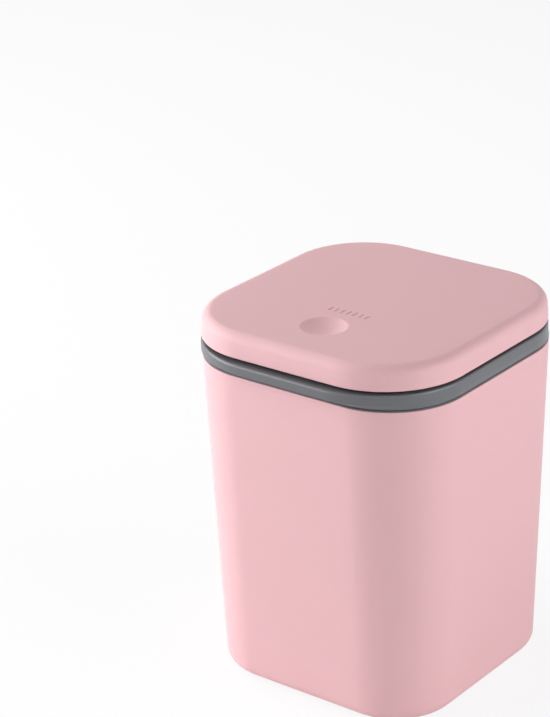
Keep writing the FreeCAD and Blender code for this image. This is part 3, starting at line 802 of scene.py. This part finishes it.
@dataclass(frozen=True)
class Plan:
    """Lengths and levels that the moulded pieces share."""

    axis_y: float = 2.35
    rim: Outline = Outline(62.5, 62.5, 62.5, 34.2, 34.2)
    ridge: Outline = Outline(62.9, 67.6, 62.9, 41.8, 36.5)
    mouth: Outline = Outline(48.0, 43.5, 49.0, 26.0, 26.0)
    lid: Outline = Outline(62.7, 64.6, 62.5, 37.3, 35.6)
    draft: float = 5.6
    seat: float = 147.6
    rebate_drop: float = 0.4
    rebate_depth: float = 1.0
    hinge_y: float = 62.25
    hinge_z: float = 160.0
    pin_hole: float = 1.3
    catch_y: float = -49.25
    screw_bore: float = 1.05
    lid_low: float = 156.6
    lid_under: float = 164.8
    lid_top: float = 167.2

    def taper(self) -> float:
        """How far the bucket's wall spreads for each millimetre of height."""
        return self.draft / self.seat


PLAN = Plan()


@dataclass
class Bucket:
    """The tapered bucket: a rolled base edge, a standing ring, a smooth inside and a rebated rim."""

    wall: float = 2.0
    floor_top: float = 3.7
    base_round: float = 6.5
    foot_width: float = 5.0
    foot_recess: float = 1.5
    edge_ease: float = 0.45
    rim_ease: float = 0.25
    core_share: float = 0.6
    ease_steps: int = 5
    round_steps: int = 16
    per_corner: int = 40
    per_side: int = 12

    def section(self) -> np.ndarray:
        """The wall's section from the middle of the underside, round the rim, to the middle of the floor.

        The wall spreads by the taper; the base edge is a quarter round that meets the wall, and the
        rim's outer edge is cut back for the collar's flange, a thin dark sheet that paints shade into
        the line under the collar's band.

        Returns:
            One line per ring.
        """
        base = PLAN.rim.inset(PLAN.draft)
        taper = PLAN.taper()
        lean = math.atan(taper)
        foot = base.inset(self.base_round + self.foot_width)
        core = foot.inset(foot.half * self.core_share)
        turn = np.linspace(-QUARTER, -lean, self.round_steps)
        outer_in = self.base_round / math.cos(lean) - taper * self.base_round
        outer = arc_stations(base, outer_in, self.base_round, self.base_round, turn)
        inner_round = self.base_round - self.wall
        inner_height = self.floor_top + inner_round
        inner_in = self.wall + inner_round / math.cos(lean) - taper * inner_height
        inner = arc_stations(base, inner_in, inner_height, inner_round, turn[::-1])
        rebate = PLAN.seat - PLAN.rebate_drop
        rebate_edge = PLAN.rim.inset(PLAN.rebate_depth)
        rows = [
            Station(core, self.foot_recess),
            Station(foot, self.foot_recess, self.edge_ease),
            Station(foot, 0.0, self.edge_ease),
            *outer,
            Station(PLAN.rim, rebate, self.rim_ease),
            Station(rebate_edge, rebate),
            Station(rebate_edge, PLAN.seat),
            Station(PLAN.rim.inset(self.wall), PLAN.seat, self.edge_ease),
            *inner,
            Station(core, self.floor_top),
        ]
        return eased(rows, self.ease_steps)

    def build(self) -> Piece:
        """Make the bucket's mesh.

        Returns:
            The piece.
        """
        path = RoundedPath(self.per_corner, self.per_side, PLAN.axis_y)
        return ring_surface(path.rings(self.section())).to_object("bucket_shell")

    def dress(self, piece: Piece) -> None:
        """Give the bucket its finish and its place."""
        dress(piece, PINK_BODY)
        settle(piece, Body.BIN, Slot.BODY, "bin_body")


def tongue(x: float, width: float, radius: float, base: float) -> Surface:
    """A flat-sided tongue about the hinge line that runs to a level base.

    Its outline is a half circle about the hinge line and two straight sides to the base.

    Args:
        x: The lower end along X.
        width: The length along X.
        radius: The round end's radius.
        base: The height that it runs to, above or below the hinge line.

    Returns:
        The closed tongue.
    """
    upwards = base < PLAN.hinge_z
    turn = np.linspace(0.0, math.pi, TONGUE_STEPS) + (0.0 if upwards else math.pi)
    round_end = np.column_stack([radius * np.cos(turn), radius * np.sin(turn)])
    drop = base - PLAN.hinge_z
    side = -radius if upwards else radius
    feet = np.array([(side, drop), (-side, drop)])
    solid = prism(np.concatenate([round_end, feet]), 0.0, width)
    return turned(solid, along_x(x, PLAN.hinge_y, PLAN.hinge_z))


def hinge_bar(reach: float) -> Surface:
    """A round bar on the hinge line from -reach to reach, as wide as the pin's hole."""
    solid = prism(disc(0.0, 0.0, PLAN.pin_hole, BOSS_STEPS), -reach, reach)
    return turned(solid, along_x(0.0, PLAN.hinge_y, PLAN.hinge_z))


def catch_posts(x: float, radius: float, low: float, high: float, steps: int) -> list[Surface]:
    """Upright round posts from low to high, one at x to each side of the catch."""
    return [prism(disc(side, PLAN.catch_y, radius, steps), low, high) for side in (-x, x)]


@dataclass
class Collar:
    """The lift-off collar: plug, flange, shadow gap, flared band, ridge, sunk land, neck and hinge ears."""

    shadow_gap: float = 0.8
    shadow_depth: float = 1.1
    # The flange: a thin dark grey sheet in the bucket's rebate, painted shade under the band.
    flange_inset: float = 0.45
    flange_top: float = 0.1
    flange_play: float = 0.05
    ridge_rise: float = 7.5
    ridge_edge: float = 4.2
    ridge_round: float = 1.0
    lip_width: float = 6.0
    land_drop: float = 2.0
    deck: float = 2.0
    plug_depth: float = 10.5
    plug_inset: float = 2.35
    plug_wall: float = 1.6
    neck_wall: float = 1.6
    neck_height: float = 4.5
    edge_ease: float = 0.3
    ease_steps: int = 4
    ear_radius: float = 2.98
    ear_start: float = 13.5
    ear_width: float = 8.0
    boss_x: float = 14.5
    boss_radius: float = 2.6
    boss_height: float = 2.4
    slot_half: float = 8.8
    slot_depth: float = 4.8
    leg_hole: tuple[float, float, float] = (-6.73, 60.15, 0.7)
    per_corner: int = 44
    per_side: int = 14

    def land(self) -> float:
        """The height of the sunk land."""
        return PLAN.seat + self.ridge_rise - self.land_drop

    def section(self) -> np.ndarray:
        """The collar's closed section.

        It runs up the outside, over the ridge and neck, down inside the plug and out along the flange.

        Returns:
            One line per ring.
        """
        seat = PLAN.seat
        ridge_top = seat + self.ridge_rise
        land = self.land()
        neck_top = land + self.neck_height
        band_low = seat + self.shadow_gap
        plug_low = seat - self.plug_depth
        plug = PLAN.rim.inset(self.plug_inset)
        plug_foot = plug.inset(PLAN.taper() * self.plug_depth)
        plug_inner = plug_foot.inset(self.plug_wall)
        seat_edge = PLAN.rim.inset(self.shadow_depth)
        flange = PLAN.rim.inset(self.flange_inset)
        flange_low = seat - PLAN.rebate_drop + self.flange_play
        lip = PLAN.ridge.inset(self.lip_width)
        neck = PLAN.mouth.inset(-self.neck_wall)
        ease = self.edge_ease
        rows = [
            Station(PLAN.rim, band_low, ease),
            Station(PLAN.ridge, ridge_top - self.ridge_edge, ease),
            Station(PLAN.ridge, ridge_top, self.ridge_round),
            Station(lip, ridge_top, ease),
            Station(lip, land, ease),
            Station(neck, land, ease),
            Station(neck, neck_top, 2 * ease),
            Station(PLAN.mouth, neck_top, 2 * ease),
            Station(PLAN.mouth, land - self.deck, ease),
            Station(plug_inner, land - self.deck, ease),
            Station(plug_inner, plug_low, ease),
            Station(plug_foot, plug_low, ease),
            Station(plug, seat),
            Station(seat_edge, seat),
            # The flange paints shade under the band, on top of the real shade that the band casts.
            Station(seat_edge, flange_low),
            Station(flange, flange_low),
            Station(flange, seat + self.flange_top),
            Station(seat_edge, seat + self.flange_top),
            Station(seat_edge, band_low),
        ]
        return eased(rows, self.ease_steps, closed=True)

    def build(self) -> Piece:
        """Make the collar: the swept ring, then its ears and bosses, then its slot and holes.

        Returns:
            The piece.
        """
        path = RoundedPath(self.per_corner, self.per_side, PLAN.axis_y)
        piece = ring_surface(path.rings(self.section()), wraps=True).to_object("collar_moulding")
        land = self.land()
        root = land - self.deck / 2
        ears = (-self.ear_start - self.ear_width, self.ear_start)
        adds = [tongue(start, self.ear_width, self.ear_radius, root) for start in ears]
        adds += catch_posts(self.boss_x, self.boss_radius, root, land + self.boss_height, BOSS_STEPS)
        carve(piece, together(adds), Carve.ADD)
        cut_low, cut_high = land - 2 * self.deck, land + 2 * self.deck
        slot_y = self.slot_depth / 2
        slot_low = (-self.slot_half, PLAN.catch_y - slot_y, cut_low)
        slot_high = (self.slot_half, PLAN.catch_y + slot_y, land + self.deck)
        hole_x, hole_y, hole_radius = self.leg_hole
        bore_top = land + self.boss_height / 2
        cuts = [
            box(slot_low, slot_high),
            prism(disc(hole_x, hole_y, hole_radius, BORE_STEPS), cut_low, cut_high),
            hinge_bar(self.ear_start + 2 * self.ear_width),
            *catch_posts(self.boss_x, PLAN.screw_bore, cut_low, bore_top, BORE_STEPS),
        ]
        carve(piece, together(cuts), Carve.CUT)
        return piece

    def dress(self, piece: Piece) -> None:
        """Give the collar its finish and its place."""
        dress(piece, GREY_COLLAR)
        settle(piece, Body.COLLAR, Slot.COLLAR, "collar_ring")


@dataclass
class Lid:
    """The lid: a drafted cap with a round edge, a finger dish, a small sunk motif and hinge knuckles."""

    draft: float = 0.6
    wall: float = 2.0
    edge_round: float = 4.6
    dish_y: float = -33.9
    dish_half: float = 10.1
    dish_depth: float = 2.5
    dish_edge: float = 2.5
    backing: float = 2.2
    window_half: float = 22.0
    window_top: float = 163.9
    knuckle_radius: float = 2.5
    knuckle_starts: tuple[float, ...] = (-26.0, -13.0, 9.0, 22.0)
    knuckle_width: float = 4.0
    pin_reach: float = 27.1
    boss_x: float = 5.4
    boss_radius: float = 2.2
    boss_height: float = 3.0
    rest_low: tuple[float, float, float] = (4.406, 54.65, 158.6)
    rest_size: tuple[float, float] = (3.0, 3.0)
    under_margin: float = 1.0
    under_marks: tuple[float, ...] = (0.5, 1.0, 1.0, 1.0)
    under_shares: tuple[float, ...] = (0.15, 0.4, 0.7)
    brim_guard: float = 1.05
    edge_ease: float = 0.3
    ease_steps: int = 4
    round_count: int = 15
    bowl_count: int = 15
    brim_count: int = 9
    top_count: int = 14
    motif_y: float = -16.6
    motif_pitch: float = 3.1
    motif_count: int = 7
    motif_length: float = 4.4
    motif_stroke: float = 1.0
    motif_slope: float = 0.7
    motif_depth: float = 0.35
    motif_steps: int = 16
    sink: float = 0.2
    per_corner: int = 44
    per_side: int = 16

    def dish_radius(self) -> float:
        """The radius of the dish's sphere: (half^2 + depth^2) / (2 depth)."""
        return (self.dish_half**2 + self.dish_depth**2) / (2 * self.dish_depth)

    def dish_marks(self) -> tuple[float, float]:
        """Where the dish's form changes.

        Returns:
            Where its sphere meets its edge round, and where that round meets the flat.
        """
        radius = self.dish_radius()
        across = radius + self.dish_edge
        brim = math.sqrt(across**2 - (across - self.dish_depth) ** 2)
        return radius * brim / across, brim

    def dish_height(self, distance: np.ndarray) -> np.ndarray:
        """The top's height at a distance from the dish's middle.

        A sphere, then the round that touches both the sphere and the flat, then the flat.

        Args:
            distance: Distances from the middle.

        Returns:
            Heights.
        """
        radius = self.dish_radius()
        meet, brim = self.dish_marks()
        bowl = radius - self.dish_depth - np.sqrt(np.clip(radius**2 - distance**2, 0.0, None))
        edge = np.sqrt(np.clip(self.dish_edge**2 - (distance - brim) ** 2, 0.0, None)) - self.dish_edge
        return PLAN.lid_top + np.where(distance < meet, bowl, np.where(distance < brim, edge, 0.0))

    def rays(
        self, edge: np.ndarray, marks: np.ndarray, shares: np.ndarray
    ) -> tuple[np.ndarray, np.ndarray]:
        """Rings between the dish's middle and an edge ring, along straight rays.

        The first rings are circles at the marks; the rest divide what is left of each ray.

        Args:
            edge: The edge ring as (place, xyz).
            marks: Radii of the circles.
            shares: Shares of the rest of each ray.

        Returns:
            The rings' points along X and Y, and their distances from the middle.
        """
        middle = np.array([0.0, self.dish_y])
        ray = edge[:, :2] - middle
        reach = np.linalg.norm(ray, axis=1)
        rest = marks[-1] + shares[:, None] * (reach - marks[-1])
        distance = np.concatenate([np.broadcast_to(marks[:, None], (len(marks), len(reach))), rest])
        return middle + distance[..., None] * (ray / reach[:, None]), distance

    def build(self) -> Piece:
        """Make the lid: the cap, its hinge window, its knuckles and bosses, its bores and motif.

        Returns:
            The piece.
        """
        piece = self.cap().to_object("lid_moulding")
        rear = PLAN.hinge_y + 2 * self.wall
        window_low = (-self.window_half, PLAN.hinge_y, PLAN.lid_low - self.wall)
        carve(piece, box(window_low, (self.window_half, rear, self.window_top)), Carve.CUT)
        top = PLAN.lid_under + self.sink
        adds = [tongue(x, self.knuckle_width, self.knuckle_radius, top) for x in self.knuckle_starts]
        boss_low = PLAN.lid_under - self.boss_height
        adds += catch_posts(self.boss_x, self.boss_radius, boss_low, top, BOSS_STEPS)
        rest_x, rest_y = self.rest_low[:2]
        adds.append(box(self.rest_low, (rest_x + self.rest_size[0], rest_y + self.rest_size[1], top)))
        carve(piece, together(adds), Carve.ADD)
        cuts = [hinge_bar(self.pin_reach)]
        bore_low = boss_low - self.wall
        cuts += catch_posts(self.boss_x, PLAN.screw_bore, bore_low, PLAN.lid_under, BORE_STEPS)
        carve(piece, together(cuts + self.motif()), Carve.CUT)
        return piece

    def cap(self) -> Surface:
        """The cap from the middle of its underside, round its edge, to the middle of the dish.

        Returns:
            The closed cap.
        """
        path = RoundedPath(self.per_corner, self.per_side, PLAN.axis_y)
        height = PLAN.lid_top - PLAN.lid_low
        slope = self.draft / height
        lean = math.atan(slope)
        inner = PLAN.lid.inset(self.draft + self.wall)
        round_z = PLAN.lid_top - self.edge_round
        round_in = slope * (round_z - PLAN.lid_low) + self.edge_round / math.cos(lean)
        turn = np.linspace(lean, QUARTER, self.round_count)
        rows = [
            Station(inner.inset(self.under_margin), PLAN.lid_under),
            Station(inner, PLAN.lid_under, self.edge_ease),
            Station(inner, PLAN.lid_low, self.edge_ease),
            Station(PLAN.lid, PLAN.lid_low, self.edge_ease),
            *arc_stations(PLAN.lid, round_in, round_z, self.edge_round, turn),
        ]
        wall = path.rings(eased(rows, self.ease_steps))
        under_marks = np.array(self.under_marks) * self.dish_half
        under_xy, reach = self.rays(wall[0], under_marks, np.array(self.under_shares))
        under_z = np.full(reach.shape, PLAN.lid_under)
        # The dish's backing takes the first rings: its flat, its eased corner and its side.
        flat, corner, side = range(3)
        under_z[[flat, corner, side]] = PLAN.lid_under - self.backing
        under_z[side] += self.edge_ease
        under_xy[corner] += (under_xy[flat] - under_xy[corner]) * (self.edge_ease / self.dish_half)
        under = np.concatenate([under_xy, under_z[..., None]], axis=-1)
        meet, brim = self.dish_marks()
        bowl = np.linspace(0.0, meet, self.bowl_count)[1:]
        edge = np.linspace(meet, brim, self.brim_count)[1:]
        marks = np.concatenate([bowl, edge, [brim * self.brim_guard]])
        top_xy, distance = self.rays(wall[-1], marks, np.linspace(0.0, 1.0, self.top_count)[1:-1])
        top = np.concatenate([top_xy, self.dish_height(distance)[..., None]], axis=-1)
        skin = ring_surface(np.concatenate([under, wall, top[::-1]]))
        skin.points[-1, 2] = PLAN.lid_top - self.dish_depth
        return skin

    def motif(self) -> list[Surface]:
        """Short grip bars in a row behind the dish.

        Each is a circle whose two halves are drawn apart along Y. Its radius is half the stroke at
        the lid's top, and its walls lean out upwards.

        Returns:
            One closed tool per bar.
        """
        way = disc(0.0, 0.0, 1.0, self.motif_steps)
        apart = np.column_stack([np.zeros(len(way)), np.sign(way[:, 1])])
        bar = apart * (self.motif_length - self.motif_stroke) / 2 + (0.0, self.motif_y)
        rings = []
        for rise in (-self.motif_depth, self.motif_depth):
            reach = self.motif_stroke / 2 + rise * self.motif_slope
            rings.append(np.column_stack([bar + way * reach, np.full(len(way), PLAN.lid_top + rise)]))
        first = -(self.motif_count - 1) / 2
        shifts = (first + np.arange(self.motif_count)) * self.motif_pitch
        return [ring_surface(np.stack(rings) + (shift, 0.0, 0.0)) for shift in shifts]

    def dress(self, piece: Piece) -> None:
        """Give the lid its finish and its place."""
        dress(piece, PINK_LID)
        settle(piece, Body.LID, Slot.LID, "lid_cover")


@dataclass
class WoundSpring:
    """A spring of round wire: a helix with a straight lead at each end, held by two bodies.
    """

    name: str
    node: str
    bodies: tuple[Body, Body]
    leaves: tuple[float, float, float]
    arrives: tuple[float, float, float]
    origin: tuple[float, float, float]
    wire: float
    radius: float
    pitch: float
    turns: float
    start_angle: float
    turn_way: int
    leads: tuple[float, float]
    lies_along_x: bool
    lead_steps: int = 6
    per_turn: int = 40
    around: int = 14

    def build(self) -> Piece:
        """Make the wire as a tube along its path.

        On the helix a point at angle a is (r cos a, r sin a, pitch times turns so far); the tube's
        ring is spread on the inward radius and on the way across it.

        Returns:
            The piece.
        """
        count = int(self.turns * self.per_turn) + 1
        done = np.linspace(0.0, self.turns, count)
        angle = self.start_angle + self.turn_way * 2 * math.pi * done
        cos, sin, level = np.cos(angle), np.sin(angle), np.zeros(count)
        spine = np.column_stack([self.radius * cos, self.radius * sin, self.pitch * done])
        circling = np.column_stack([-sin, cos, level]) * self.turn_way
        way = circling * 2 * math.pi * self.radius + np.array([0.0, 0.0, self.pitch])
        way /= np.linalg.norm(way, axis=1)[:, None]
        inward = np.column_stack([-cos, -sin, level])
        share = np.linspace(1.0, 0.0, self.lead_steps + 1)[:-1, None]
        lead_in = spine[0] - way[0] * self.leads[0] * share
        lead_out = spine[-1] + way[-1] * self.leads[1] * share[::-1]
        spine = np.concatenate([lead_in, spine, lead_out])
        margin = ((self.lead_steps, self.lead_steps), (0, 0))
        way, inward = np.pad(way, margin, "edge"), np.pad(inward, margin, "edge")
        across = np.cross(way, inward)
        turn = np.linspace(0.0, 2 * math.pi, self.around, endpoint=False)
        ring = np.cos(turn)[None, :, None] * inward[:, None] + np.sin(turn)[None, :, None] * across[:, None]
        tube = ring_surface(spine[:, None] + ring * self.wire / 2)
        place = along_x(*self.origin) if self.lies_along_x else Matrix.Translation(self.origin)
        return turned(tube, place).to_object(self.name)

    def dress(self, piece: Piece) -> None:
        """Give the spring its finish, fix its place in its mesh and hide the solid it stands for.

        Args:
            piece: The spring.
        """
        dress(piece, SPRING_WIRE)
        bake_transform(piece)
        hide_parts(self.node)


LID_SPRING = WoundSpring(
    name="lid_torsion_spring",
    node="lid_spring",
    bodies=(Body.COLLAR, Body.LID),
    leaves=(-5.5, PLAN.hinge_y, PLAN.hinge_z),
    arrives=(5.5, PLAN.hinge_y, PLAN.hinge_z),
    origin=(-5.906, PLAN.hinge_y, PLAN.hinge_z),
    wire=0.8,
    radius=2.1,
    pitch=1.35,
    turns=8.75,
    start_angle=math.pi,
    turn_way=-1,
    leads=(8.1, 7.6),
    lies_along_x=True,
)
CATCH_SPRING = WoundSpring(
    name="catch_spring_wire",
    node="latch_spring",
    bodies=(Body.COLLAR, Body.SLIDER),
    leaves=(0.0, PLAN.catch_y, 119.0),
    arrives=(0.0, PLAN.catch_y, 128.2),
    origin=(0.0, PLAN.catch_y, 118.9),
    wire=0.5,
    radius=2.5,
    pitch=1.558,
    turns=6.0,
    start_angle=0.0,
    turn_way=1,
    leads=(0.5, 0.5),
    lies_along_x=False,
)


@dataclass
class CatchHardware:
    """The catch, the striker and the fixings: solids that keep their shape and get a finish."""

    finishes: dict[str, Finish] = field(
        default_factory=lambda: {
            "hinge_pin": PLATED_STEEL,
            "latch_housing": DARK_CATCH,
            "latch_cover": DARK_CATCH,
            "latch_slider": NATURAL_ACETAL,
            "latch_jaw_left": NATURAL_ACETAL,
            "latch_jaw_right": NATURAL_ACETAL,
            "latch_jaw_pins": PLATED_STEEL,
            "latch_follower": SPRING_WIRE,
            "latch_screws": PLATED_STEEL,
            "lid_striker": NATURAL_ACETAL,
            "striker_screws": PLATED_STEEL,
        }
    )

    def dress(self) -> None:
        """Give every kept solid its finish."""
        for node, finish in self.finishes.items():
            dress(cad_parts[node], finish)
            LOG.info("dressed %s in %s", node, finish.name)


# The studio


def outward(azimuth: float, elevation: float) -> Vector:
    """The way out of the bin at an azimuth, counted from the front towards +X, and an elevation."""
    turn, rise = math.radians(azimuth), math.radians(elevation)
    return Vector((math.sin(turn) * math.cos(rise), -math.cos(turn) * math.cos(rise), math.sin(rise)))


@dataclass(frozen=True)
class Softbox:
    """A rectangular area lamp that faces a point on the bin."""

    name: str
    azimuth: float
    elevation: float
    distance: float
    width: float
    height: float
    power: float
    aim: tuple[float, float, float] = (0.0, 0.0, 0.09)

    def place(self) -> None:
        """Hang the lamp."""
        lamp = bpy.data.lights.new(self.name, "AREA")
        lamp.shape = "RECTANGLE"
        lamp.size = self.width
        lamp.size_y = self.height
        lamp.energy = self.power
        item = bpy.data.objects.new(self.name, lamp)
        away = outward(self.azimuth, self.elevation)
        item.location = Vector(self.aim) + away * self.distance
        item.rotation_euler = away.to_track_quat("Z", "Y").to_euler()
        bpy.context.scene.collection.objects.link(item)


@dataclass
class Studio:
    """The floor, the surround, the lamps and the camera."""

    floor_half: float = 3.0
    floor_drop: float = 0.0002
    floor_tone: float = 0.9
    backdrop_share: float = 0.85
    surround: float = 0.21
    camera_place: tuple[float, float, float] = (0.58214, -0.79639, 0.55838)
    camera_azimuth: float = 38.5974
    camera_elevation: float = 22.8974
    camera_roll: float = -1.8707
    lens: float = 126.023
    sensor: float = 36.0
    # Each softbox has its name, azimuth, elevation, distance, width, height and power.
    softboxes: tuple[Softbox, ...] = (
        Softbox("left_softbox", -56.0, 15.0, 1.4, 1.3, 1.3, 28.5),
        Softbox("right_softbox", 97.0, 16.0, 1.4, 0.9, 1.0, 13.5),
        Softbox("high_softbox", -98.0, 38.0, 1.4, 0.8, 0.6, 6.6),
        Softbox("front_softbox", 38.0, 16.0, 1.8, 1.2, 1.2, 0.5),
    )

    def backdrop_rays(self, net: NodeTree) -> Socket:
        """Which rays show the backdrop: those from the camera, mirrored or passed through.

        Args:
            net: The tree that asks.

        Returns:
            1 for such a ray and 0 for the rest.
        """
        path = net.add("ShaderNodeLightPath")
        seen = net.math("MAXIMUM", path.outputs["Is Camera Ray"], path.outputs["Is Glossy Ray"])
        return net.math("MAXIMUM", seen, path.outputs["Is Transmission Ray"])

    def lay_floor(self) -> None:
        """Lay a pale floor that looks white to the camera and keeps the bin's shadow."""
        half = self.floor_half / MM
        corners = np.array([(-half, -half), (half, -half), (half, half), (-half, half)])
        points = np.column_stack([corners, np.full(4, -self.floor_drop / MM)])
        floor = Surface(points, np.array([[0, 1, 2, 3]])).to_object("floor")
        material = bpy.data.materials.new("pale_floor")
        material.use_nodes = True
        net = NodeTree(material.node_tree)
        net.tree.nodes.clear()
        matt = net.add("ShaderNodeBsdfDiffuse")
        matt.inputs["Color"].default_value = (self.floor_tone, self.floor_tone, self.floor_tone, 1.0)
        glow = net.add("ShaderNodeEmission")
        mix = net.add("ShaderNodeMixShader")
        net.link(net.math("MULTIPLY", self.backdrop_rays(net), self.backdrop_share), mix.inputs["Fac"])
        net.link(matt.outputs[0], mix.inputs[1])
        net.link(glow.outputs[0], mix.inputs[2])
        net.link(mix.outputs[0], net.add("ShaderNodeOutputMaterial").inputs["Surface"])
        floor.data.materials.append(material)

    def light(self) -> None:
        """Set a white surround for the camera, a softer one for the light, and the softboxes."""
        world = bpy.data.worlds.new("studio")
        world.use_nodes = True
        net = NodeTree(world.node_tree)
        sky = next(node for node in net.tree.nodes if node.type == "BACKGROUND")
        sky.inputs["Color"].default_value = (1.0, 1.0, 1.0, 1.0)
        seen = self.backdrop_rays(net)
        dim = net.math("MULTIPLY", net.math("SUBTRACT", 1.0, seen), self.surround)
        net.link(net.math("ADD", dim, seen), sky.inputs["Strength"])
        bpy.context.scene.world = world
        for softbox in self.softboxes:
            softbox.place()

    def set_camera(self) -> None:
        """Stand the camera where the bin is seen from."""
        back = outward(self.camera_azimuth, self.camera_elevation)
        turn, roll = math.radians(self.camera_azimuth), math.radians(self.camera_roll)
        level = Vector((math.cos(turn), math.sin(turn), 0.0))
        right = level * math.cos(roll) + back.cross(level) * math.sin(roll)
        up = back.cross(right)
        lens = bpy.data.cameras.new("camera")
        lens.lens = self.lens
        lens.sensor_width = self.sensor
        camera = bpy.data.objects.new("camera", lens)
        axes = Matrix((right, up, back)).transposed().to_4x4()
        camera.matrix_world = Matrix.Translation(self.camera_place) @ axes
        bpy.context.scene.collection.objects.link(camera)
        bpy.context.scene.camera = camera


def main() -> None:
    """Build the bin and the studio around it."""
    logging.basicConfig(level=logging.INFO, format="%(name)s: %(message)s")
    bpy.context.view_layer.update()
    for part in (Bucket(), Collar(), Lid(), LID_SPRING, CATCH_SPRING):
        piece = part.build()
        part.dress(piece)
        LOG.info("built %s: %d faces", piece.name, len(piece.data.polygons))
    CatchHardware().dress()
    studio = Studio()
    studio.lay_floor()
    studio.light()
    studio.set_camera()
    bpy.context.scene.view_settings.view_transform = "Standard"


if __name__ == "__main__":
    main()
